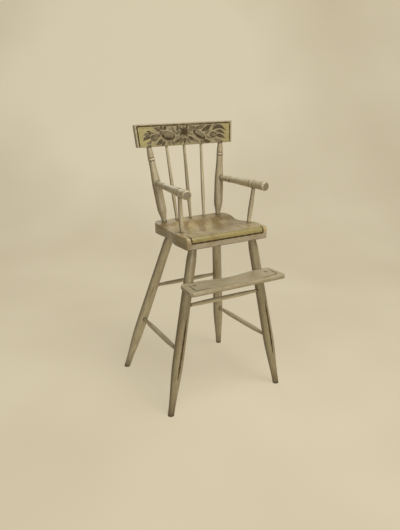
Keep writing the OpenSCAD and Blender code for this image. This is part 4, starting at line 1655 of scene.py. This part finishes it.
@dataclass(frozen=True)
class ArmSet(Assembly):
    """Two turned arms that thicken to a knob at the front, each on a plain support near its front end."""

    rear_d: float = 20.5
    front_d: float = 26.0
    knob_d: float = 29.0
    end_d: float = 22.0
    rear_ring_at: float = 60.0
    rear_ring_w: float = 16.0
    front_ring_at: float = 184.0
    front_ring_w: float = 19.0
    ring_proud: float = 1.2
    shoulder_from: float = 12.0
    shoulder_to: float = 25.0
    support_d: float = 15.5
    post_d: float = 28.0

    def arm(self, side: Side) -> Turning:
        """An arm: one ring behind and one in front, and a knob with a bevel down to its flat end.

        Args:
            side: the side it lies on.

        Returns:
            The arm's turning.
        """
        lay = self.layout
        axis, tenon, knob, end = lay.arm(side), lay.arm_tenon_d / 2, self.knob_d / 2, self.end_d / 2
        length, bevel = axis.length, knob - end
        return Turning(
            axis,
            ((0.0, tenon), (self.shoulder_from, tenon), (self.shoulder_to, self.rear_d / 2),
             (length - 3 * bevel, knob), (length - bevel, knob), (length, end)),
            rings=(Ring(self.rear_ring_at, self.rear_ring_w, self.rear_d / 2, self.ring_proud),
                   Ring(self.front_ring_at, self.front_ring_w, self.front_d / 2, self.ring_proud)),
            end_rounds=(0.5, 1.4),
            rubs=(Rub(length - 8, 16.0, 0.20, (0.0, -0.5, 1.0)), Rub(120.0, 45.0, 0.14, (0.0, 0.0, 1.0))),
            # the dark bands at the knob are painted shade on its end, and the pale tint is painted light on the
            # arm
            dark_bands=(Rub(length, 1.6, 0.7), Rub(length - 12, 12.0, 0.3)), tints={"pale": 1.0},
            contacts=entering(self.post_d, lay.post(side)) + entering(lay.support_end_d, lay.support(side)),
            seed=23.0 + side.value, columns=72, spacing=3.0,
        )

    def support(self, side: Side) -> Turning:
        """An arm support, fullest a third of the way up, from inside the seat to the middle of the arm.

        Args:
            side: the side it stands on.

        Returns:
            The support's turning.
        """
        axis, end = self.layout.support(side), self.layout.support_end_d / 2
        length = axis.length
        return Turning(
            axis,
            ((-self.layout.rod_seat_tenon, end), (0.0, end), (length / 3, self.support_d / 2),
             (length - self.front_d / 2, end), (length, end)),
            rubs=(Rub(length / 2, 40.0, 0.12, (0.0, -1.0, 0.0)),), tints={"pale": 1.0}, painted_side_shade=0.8,
            contacts=entering(self.front_d, self.layout.arm(side)), seams=(0.0,), seed=27.0 + side.value,
            columns=48,
        )

    def pieces(self) -> list[Piece]:
        """The two arms and their supports."""
        return [self.finishes.turned(f"{name}_{side.label}", turning(side)) for side in Side
                for name, turning in (("arm", self.arm), ("arm_support", self.support))]


class Tone(Enum):
    """How much bronze powder a stencilled shape carries, from bare umber to the brightest bronze."""

    UMBER = 0.05
    DUSK = 0.32
    DULL = 0.62
    BRONZE = 1.0


@dataclass(frozen=True)
class CrestStencil:
    """A band of flowers, fruit and leaves for a chair's crest, of the maker's own drawing.

    Places are millimetres from the middle of the rail's underside: along the rail, and up its face.
    """

    edge_w: float = 0.9
    top_layer: int = 60

    def leaf(self, base: Pair, tip: Pair, width: float, bend: float, tone: Tone, layer: int) -> list[Stroke]:
        """A pointed leaf along a bent line: the half width is a sine wave, fullest before the middle.

        Args:
            base: where the leaf springs from.
            tip: its point.
            width: its greatest width.
            bend: how far its middle is pushed to the left.
            tone: its paint.
            layer: how many strokes lie under it.

        Returns:
            The leaf's light edge, the leaf and the light vein up its middle.
        """
        a, b = np.array(base, float), np.array(tip, float)
        along = b - a
        square = unit(np.array([-along[1], along[0]]))
        share = np.linspace(0, 1, 15)
        path = a + share[:, None] * along + (bend * 4 * share * (1 - share))[:, None] * square
        half = width / 2 * np.sin(np.pi * share**0.8) + 0.05
        inner = path[2:-3]
        vein = 0.7 * np.sin(np.pi * np.linspace(0.05, 0.95, len(inner))) + 0.05
        return [Stroke(path, half + self.edge_w * np.sin(np.pi * share), Tone.BRONZE.value, layer),
                Stroke(path, half, tone.value, layer + 1), Stroke(inner, vein, Tone.DULL.value, layer + 2)]

    def disc(self, centre: Pair, long_r: float, short_r: float, tilt: float, tone: Tone, layer: int) -> Stroke:
        """A filled ellipse: a straight path whose half width is the ellipse's own.

        Args:
            centre: its middle.
            long_r: half its length.
            short_r: half its width.
            tilt: its turn, in degrees.
            tone: its paint.
            layer: how many strokes lie under it.

        Returns:
            The ellipse.
        """
        turn = np.linspace(0.02, np.pi - 0.02, 28)
        run = -np.cos(turn) * long_r
        return Stroke(np.array(centre) + tilted(run, 0 * run, tilt), short_r * np.sin(turn), tone.value, layer)

    def arc(self, centre: Pair, radius: float, start: float, end: float, width: float, tone: Tone,
            layer: int, squash: float = 1.0, tilt: float = 0.0) -> Stroke:
        """A crescent: part of a circle or ellipse, pointed at both ends by a root of a sine wave.

        Args:
            centre: the circle's middle.
            radius: its radius.
            start: the first angle, in degrees.
            end: the last one.
            width: its greatest width.
            tone: its paint.
            layer: how many strokes lie under it.
            squash: an ellipse's short radius over its long one.
            tilt: an ellipse's turn, in degrees.

        Returns:
            The crescent.
        """
        turn = np.radians(np.linspace(start, end, max(int(abs(end - start) / 9), 8)))
        path = np.array(centre) + tilted(radius * np.cos(turn), radius * squash * np.sin(turn), tilt)
        half = width / 2 * np.sin(np.pi * np.linspace(0.04, 0.96, len(turn))) ** 0.6
        return Stroke(path, half, tone.value, layer)

    def blossom(self, centre: Pair, inner: float, outer: float, count: int, turn: float) -> list[Stroke]:
        """A round flower: petals spread evenly about a dark eye, dark and dusky by turns.

        Args:
            centre: its middle.
            inner: where the petals start.
            outer: where they end.
            count: their number.
            turn: the first one's angle, in radians.

        Returns:
            The petals' strokes and the eye.
        """
        made = []
        for i, angle in enumerate(turn + np.arange(count) * 2 * np.pi / count):
            out = np.array([cos(angle), sin(angle) * 0.82])
            base, tip = (tuple(np.array(centre) + out * reach) for reach in (inner, outer))
            tone = Tone.UMBER if i % 2 else Tone.DUSK
            made += self.leaf(base, tip, 11.0, 0.0, tone, self.top_layer + 3 * i)
        return made + [self.disc(centre, inner + 1.2, inner, 0, Tone.UMBER, self.top_layer + 3 * count)]

    def fruit(self, centre: Pair, long_r: float, short_r: float, tilt: float) -> list[Stroke]:
        """A plump fruit: a dark ground, a lighter cheek on its upper side, and crescents across it.

        Args:
            centre: its middle.
            long_r: half its length.
            short_r: half its width.
            tilt: its turn, in degrees.

        Returns:
            Its light edge, the ground, the cheek and the crescents.
        """
        squash, low = short_r / long_r, self.top_layer - 3
        cheek = (centre[0] + 0.06 * long_r, centre[1] + 0.16 * short_r)
        made = [self.disc(centre, long_r + 1.0, short_r + 1.0, tilt, Tone.BRONZE, low),
                self.disc(centre, long_r, short_r, tilt, Tone.UMBER, low + 1),
                self.disc(cheek, long_r * 0.72, short_r * 0.72, tilt, Tone.DULL, low + 2)]
        # share of the length, start, end, width, tone
        crescents = ((0.82, 120, 165, 2.0, Tone.DULL), (0.52, -150, -10, 4.5, Tone.UMBER),
                     (0.50, 20, 150, 3.0, Tone.DUSK), (0.30, -170, 60, 3.0, Tone.DUSK),
                     (0.62, 40, 100, 2.0, Tone.BRONZE))
        return made + [self.arc(cheek, long_r * share, *curve, self.top_layer, squash, tilt)
                       for share, *curve in crescents]

    def bud(self, centre: Pair, radius: float) -> list[Stroke]:
        """A small ringed flower: dark, dull and dark discs inside each other, with a curl round the last."""
        top = self.top_layer + 2
        return [
            self.disc(centre, radius + 0.8, radius * 0.9 + 0.8, 0, Tone.BRONZE, top),
            self.disc(centre, radius, radius * 0.9, 0, Tone.UMBER, top + 1),
            self.disc(centre, radius * 0.74, radius * 0.66, 0, Tone.DULL, top + 2),
            self.arc(centre, radius * 0.46, 20, 300, radius * 0.26, Tone.UMBER, top + 3, 0.9),
            self.disc(centre, radius * 0.16, radius * 0.16, 0, Tone.UMBER, top + 3),
        ]

    def strokes(self) -> list[Stroke]:
        """The whole band. Each leaf lies on a layer of its own, by turns of twenty, and the fruit and flowers
        lie on top.

        Returns:
            The strokes, from the leaves at the back to the flowers.
        """
        umber, dusk, dull = Tone.UMBER, Tone.DUSK, Tone.DULL
        leaves = (
            # x and height of the base and of the tip, width, bend, tone
            (-128, 30, -155, 19, 13, -5, umber), (-128, 34, -153, 38, 13, -4, dusk),
            (-126, 38, -141, 50, 11, -3, umber), (-124, 24, -146, 11, 10, 4, dusk),
            (-108, 36, -124, 49, 10, 3, dusk), (-92, 46, -114, 57, 15, -4, umber),
            (-92, 54, -105, 67, 11, 2, dusk), (-84, 52, -89, 67, 12, 2, umber),
            (-78, 50, -68, 66, 13, 2, umber), (-66, 48, -50, 63, 9, -3, dull),
            (-92, 34, -112, 42, 11, 3, umber), (-88, 24, -111, 7, 16, 4, umber),
            (-80, 16, -92, 2, 12, 2, umber), (-68, 16, -62, 2, 13, 2, dusk), (-54, 18, -42, 3, 12, -2, dusk),
            (-38, 40, -48, 62, 12, 3, dusk), (-32, 44, -30, 66, 12, -2, umber), (-22, 40, -44, 46, 11, 3, dusk),
            (-22, 50, -17, 67, 10, 2, dusk), (-18, 32, -46, 26, 11, 3, dull), (-16, 28, -48, 8, 13, 3, umber),
            (-10, 24, -27, 3, 12, 1, dusk), (-4, 24, -6, 3, 13, -1, umber), (2, 26, 16, 4, 12, -2, dusk),
            (8, 28, 38, 14, 13, -3, umber), (22, 15, 48, 4, 11, 2, dusk), (0, 56, 7, 68, 11, -2, umber),
            (8, 50, 38, 60, 13, -3, umber), (12, 59, 29, 67, 8, -2, dusk), (12, 42, 34, 50, 12, 3, dusk),
            (12, 34, 30, 30, 10, 2, dull), (32, 50, 62, 64, 13, -4, umber), (46, 50, 76, 67, 11, -3, dusk),
            (60, 42, 86, 64, 13, -4, umber), (76, 36, 101, 62, 15, 4, umber), (72, 30, 94, 42, 11, 2, dusk),
            (62, 16, 94, 6, 14, -3, umber), (54, 12, 68, 2, 11, -2, dusk), (76, 26, 96, 17, 10, -2, dusk),
            (102, 43, 155, 38, 15, 14, umber), (102, 52, 138, 61, 11, 3, dusk),
            (116, 38, 151, 27, 13, 5, umber), (114, 25, 151, 13, 14, 4, umber), (108, 14, 134, 6, 12, -2, dusk),
        )
        made = [stroke for i, (x, y, u, v, *shape) in enumerate(leaves)
                for stroke in self.leaf((x, y), (u, v), *shape, i * 3 % self.top_layer)]
        made += self.blossom((-5, 43.0), 11.5, 23.0, 9, 0.3)
        made += self.fruit((-65, 32), 24.0, 18.0, -10.0) + self.fruit((50, 31), 26.0, 14.0, -33.0)
        return made + self.bud((-88, 43), 8.5) + self.bud((104, 28), 14.0) + self.bud((-116, 28), 13.0)


@dataclass(frozen=True)
class CrestRail(Assembly):
    """A flat leaning board, a little wider at the top, with a striped border and a stencilled band in front."""

    height: float = 72.0
    bottom_w: float = 353.0
    top_w: float = 364.0
    thickness: float = 14.0
    corner_r: float = 3.0
    edge_r: float = 1.8
    line_half_w: float = 2.3
    line_inset: float = 8.5
    line_down: float = 6.5
    pin_d: float = 4.0
    pin_up: float = 10.0
    pin_proud: float = 0.6
    pin_len: float = 11.5

    def half_width(self, up: Grid) -> Grid:
        """Half the width at a height up the board: it widens evenly, less a quarter round at its corners."""
        return ((self.bottom_w + (self.top_w - self.bottom_w) * up / self.height) / 2
                - round_loss(self.corner_r, up) - round_loss(self.corner_r, self.height - up))

    def place(self, x: Grid, up: Grid, out: Grid) -> Grid:
        """Along the rail, up its face and out from its middle sheet, from the middle of its underside."""
        return self.layout.rod(0.0, 0.0).end + join(x, up, out) @ self.layout.crest_frame()

    def skin(self, place: Grid, rise: Grid) -> Grid:
        """A place on the front face, lifted by the rise."""
        return self.place(place[..., 0], place[..., 1], self.thickness / 2 + rise)

    def board(self) -> Loft:
        """The board: yellow-olive at both ends of its front, pale outside the border, drab behind, with painted
        shade on its other faces and along its edges.

        Returns:
            Its loft, whose grain runs along x.
        """
        board = Board(self.half_width, lambda t: (0 * t, 0 * t + self.height), self.thickness, self.edge_r,
                      self.edge_r, face_rows=44)
        x, up, through = board.grid()
        points = self.place(x, up, through - self.thickness / 2)
        end = self.half_width(up) - np.abs(x)
        edge = board.arris(x, up, through, 1.4)
        front = step(through, self.thickness - 1.2, self.thickness - 0.4)
        margin = np.maximum(step(up, self.height - self.line_down, self.height - self.line_down + 1.5),
                            step(-end, -self.line_inset, -self.line_inset + 2))
        dirt = contact_grime(points, self.layout.back(self.layout.post_crest_d), 2.5)
        masks = {
            "wear": 0.12 * edge + 0.12 * bump(up, self.height, 5),
            # dirt round the posts and spindles, and painted shade on the faces other than the front and along
            # the edges
            "grime": np.maximum(dirt, 0.25 * (1 - front) * (1 - edge) + 0.5 * edge),
            "olive": front * (1 - margin) * (step(-x, 108, 132) + step(x, 126, 152)
                                             + 0.3 * (1 - step(up, 2, 9))),
            "pale": np.maximum(front * margin, 0.8 * step(through, 1, 2) * (1 - front)),
            "tone": 0.7 * front * (1 - margin) * step(x, 96, 150),
        }
        return Loft(points, join(up, through, x), masks)

    def border(self) -> Stroke:
        """The dark border line: up the left end, along the top and down the right end.

        Returns:
            The line, in places along the rail and up its face.
        """
        low, high = self.bottom_w / 2 - self.line_inset, self.top_w / 2 - self.line_inset
        top = self.height - self.line_down
        path = rounded([(-low, 0.6), (-high + 0.4, top), (high - 0.4, top), (low, 0.6)], 2.5, 1.6)
        return Stroke(path, brushed(len(path), self.line_half_w, 4, 1.1), tone=0.1)

    def pin(self, side: Side) -> Loft:
        """A whittled pin with a low domed end, driven in from behind through the middle of the post's tenon.

        Args:
            side: the post that it holds.

        Returns:
            The pin's loft.
        """
        post = self.layout.post(side)
        across = np.array(post.at_height(post.end[2] + self.pin_up)[0])
        inner, outer = (self.place(across, np.array(self.pin_up), np.array(out))
                        for out in (self.pin_len - self.thickness / 2, -self.thickness / 2 - self.pin_proud))
        axis = Axis(inner, outer)
        return Turning(axis, ((0.0, self.pin_d / 2), (axis.length, self.pin_d / 2)), end_rounds=(0.3, 0.6),
                       seed=31.0 + side.value, columns=24, spacing=2.0, ovalness=0.08).loft()

    def pieces(self) -> list[Piece]:
        """The board, its pins, its border line and its stencilled band."""
        stencil = [stroke.loft(self.skin) for stroke in CrestStencil().strokes()]
        return [
            Piece("crest_rail_sawn", [self.board()], self.finishes.crest, "painted_crest", ("crest_rail",)),
            Piece("crest_pins_whittled", list(map(self.pin, Side)), self.finishes.pins, "wooden_pins",
                  ("crest_pins",)),
            Piece("crest_border_line", [self.border().loft(self.skin)], self.finishes.lines, "painted_crest"),
            Piece("crest_stencil", stencil, self.finishes.stencil, "painted_crest"),
        ]


# The studio


def toward(azimuth: float, elevation: float) -> Grid:
    """The unit vector to an azimuth, from the front and turning to the right, and an elevation, in degrees."""
    a, e = radians(azimuth), radians(elevation)
    return np.array([sin(a) * cos(e), -cos(a) * cos(e), sin(e)])


@dataclass(frozen=True)
class Lamp:
    """A round area light that looks at the chair, with its power in watts.

    Its size and distance are metres, and its spread is the full angle of its beam in degrees.
    """

    name: str
    azimuth: float
    elevation: float
    distance: float
    power: float
    spread: float = 180.0
    size: float = 1.5

    def build(self, target: Grid) -> None:
        """Adds the lamp, tipped up by its elevation and turned by its azimuth so that it looks at the target.

        Args:
            target: the point it looks at.
        """
        light = bpy.data.lights.new(self.name, "AREA")
        light.shape, light.size, light.energy = "DISK", self.size, self.power
        light.spread = radians(self.spread)
        shown(self.name, light).matrix_world = (
            Matrix.Translation(target + toward(self.azimuth, self.elevation) * self.distance)
            @ Matrix.Rotation(radians(self.azimuth), 4, "Z")
            @ Matrix.Rotation(radians(90 - self.elevation), 4, "X"))


@dataclass(frozen=True)
class Studio:
    """A pale paper-coloured floor that curves up into a backdrop, soft lights, and the camera, in metres.

    The key light stands in front, with a low fill near the camera. The weak light at the rear has a narrow
    beam that clears the backdrop.
    """

    floor_reach: float = 3.2
    wall_back: float = 2.6
    wall_r: float = 1.6
    wall_up: float = 3.0
    paper_glow: float = 0.7
    bloom_at: tuple[float, float, float] = (0.9, 2.4, 1.0)
    bloom_r: float = 1.5
    lamps: tuple[Lamp, ...] = (
        Lamp("key", 12.0, 59.0, 2.6, 52.0),
        Lamp("front_fill", -20.0, 8.0, 2.8, 23.5),
        Lamp("rear_fill", 172.0, 26.0, 2.8, 4.6, 100.0),
    )
    sky: float = 0.11
    azimuth: float = -29.678
    elevation: float = 18.435
    roll: float = -0.152
    distance: float = 1.892253
    target: tuple[float, float, float] = (-0.017057, -0.0097315, 0.435806)
    focal_px: float = 566.625
    picture_h: int = 530
    sensor: float = 36.0

    def backdrop(self) -> None:
        """A sheet swept square to the view: level floor, then a quarter circle, then an upright wall."""
        turn = np.linspace(0, np.pi / 2, 24)
        profile = np.concatenate([
            join(np.linspace(-self.floor_reach, self.wall_back - self.wall_r, 12)[:-1], np.zeros(11)),
            join(self.wall_back - self.wall_r + self.wall_r * np.sin(turn), self.wall_r * (1 - np.cos(turn))),
            np.array([[self.wall_back, self.wall_r + self.wall_up]]),
        ])
        places = np.linspace(-self.floor_reach * 1.6, self.floor_reach * 1.6, 9)
        back = toward(self.azimuth, 0.0)
        wide = np.array([back[1], -back[0], 0.0])
        grid = profile[:, None, :1] * -back + places[None, :, None] * wide + profile[:, None, 1:] * UPWARD
        index = np.arange(grid[..., 0].size).reshape(grid.shape[:2])
        quads = join(index[:-1, :-1], index[:-1, 1:], index[1:, 1:], index[1:, :-1]).reshape(-1, 4)
        mesh = bpy.data.meshes.new("paper_backdrop")
        mesh.from_pydata(grid.reshape(-1, 3).tolist(), [], quads.tolist())
        mesh.polygons.foreach_set("use_smooth", np.ones(len(quads), bool))
        mesh.materials.append(self.paper_finish())
        shown("paper_backdrop", mesh)

    def paper_finish(self) -> Material:
        """Plain matt wove paper, faintly mottled, with a painted pool of light behind the chair's back. The
        camera and glossy paint see it partly at its own even colour, so it stays level and the chair's shadow
        stays faint.

        Returns:
            The material.
        """
        material, tree = new_tree("matt_paper_backdrop")
        place = add(tree, "TexCoord").outputs["Object"]
        cloud = add(tree, "TexNoise", {"Vector": place, "Scale": 1.3, "Detail": 2.0}).outputs["Fac"]
        # a painted pool of light on the paper, round a point behind the chair's back
        away = add(tree, "VectorMath", {0: place, 1: self.bloom_at}, operation="DISTANCE").outputs["Value"]
        bloom = add(tree, "MapRange", {"Value": away, "From Min": self.bloom_r, "From Max": 0.0},
                    interpolation_type="SMOOTHSTEP").outputs["Result"]
        cloud = add(tree, "Math", {0: cloud, 1: bloom}, operation="ADD", use_clamp=True).outputs[0]
        colour = add(tree, "Mix", {0: cloud, 6: linear("#cdbfa1"), 7: linear("#e6dabd")},
                     data_type="RGBA").outputs[2]
        matt = add(tree, "BsdfDiffuse", {"Color": colour}).outputs["BSDF"]
        level = add(tree, "Emission", {"Color": colour}).outputs["Emission"]
        share = add(tree, "Math", {0: self.seen(tree), 1: self.paper_glow}, operation="MULTIPLY").outputs[0]
        surface = add(tree, "MixShader", {0: share, 1: matt, 2: level}).outputs["Shader"]
        add(tree, "OutputMaterial", {"Surface": surface})
        return material

    def seen(self, tree: NodeTree) -> NodeSocket:
        """Tells a look from falling light by the sum of three kinds of ray, at most 1.

        Args:
            tree: the tree that gets the nodes.

        Returns:
            1 for what the camera, gloss or glass looks at, and 0 where light only falls.
        """
        path = add(tree, "LightPath").outputs
        total = path["Is Camera Ray"]
        for kind in ("Is Glossy Ray", "Is Transmission Ray"):
            total = add(tree, "Math", {0: total, 1: path[kind]}, operation="ADD", use_clamp=True).outputs[0]
        return total

    def camera(self) -> None:
        """Looks at the target from the view's own direction, with the focal length of the solved view."""
        back = toward(self.azimuth, self.elevation)
        a, r = radians(self.azimuth), radians(self.roll)
        right = np.array([cos(a), sin(a), 0.0])
        up = np.cross(back, right)
        matrix = np.eye(4)
        matrix[:3] = join(cos(r) * right + sin(r) * up, cos(r) * up - sin(r) * right, back,
                          np.array(self.target) + back * self.distance)
        lens = bpy.data.cameras.new("camera")
        lens.sensor_width = self.sensor
        lens.lens = self.focal_px / self.picture_h * self.sensor
        lens.clip_start, lens.clip_end = 0.05, 50.0
        holder = shown("camera", lens)
        holder.matrix_world = Matrix(matrix.tolist())
        bpy.context.scene.camera = holder

    def world(self) -> None:
        """An even weak sky that is seen in the paper's colour."""
        world = bpy.data.worlds.new("soft_sky")
        world.use_nodes = True
        world.node_tree.nodes.clear()
        tree = world.node_tree
        sky, paper = (add(tree, "Background", {"Color": linear(code), "Strength": strength}).outputs[0]
                      for code, strength in (("#fffefb", self.sky), ("#d3c7ac", 1.0)))
        surface = add(tree, "MixShader", {0: self.seen(tree), 1: sky, 2: paper}).outputs["Shader"]
        add(tree, "OutputWorld", {"Surface": surface})
        bpy.context.scene.world = world

    def set_up(self) -> None:
        """Builds the backdrop, the lights, the sky and the camera, with the plain Standard view."""
        self.backdrop()
        for lamp in self.lamps:
            lamp.build(np.array(self.target))
        self.world()
        self.camera()
        bpy.context.scene.view_settings.view_transform = "Standard"


def main() -> None:
    """Builds every piece in order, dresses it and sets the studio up."""
    layout, finishes = Layout(), Finishes()
    for assembly in (SeatPlank, LegSet, StretcherSet, Footrest, RodBack, ArmSet, CrestRail):
        for piece in assembly(layout, finishes).pieces():
            piece.build()
    Studio().set_up()


if __name__ == "__main__":
    main()
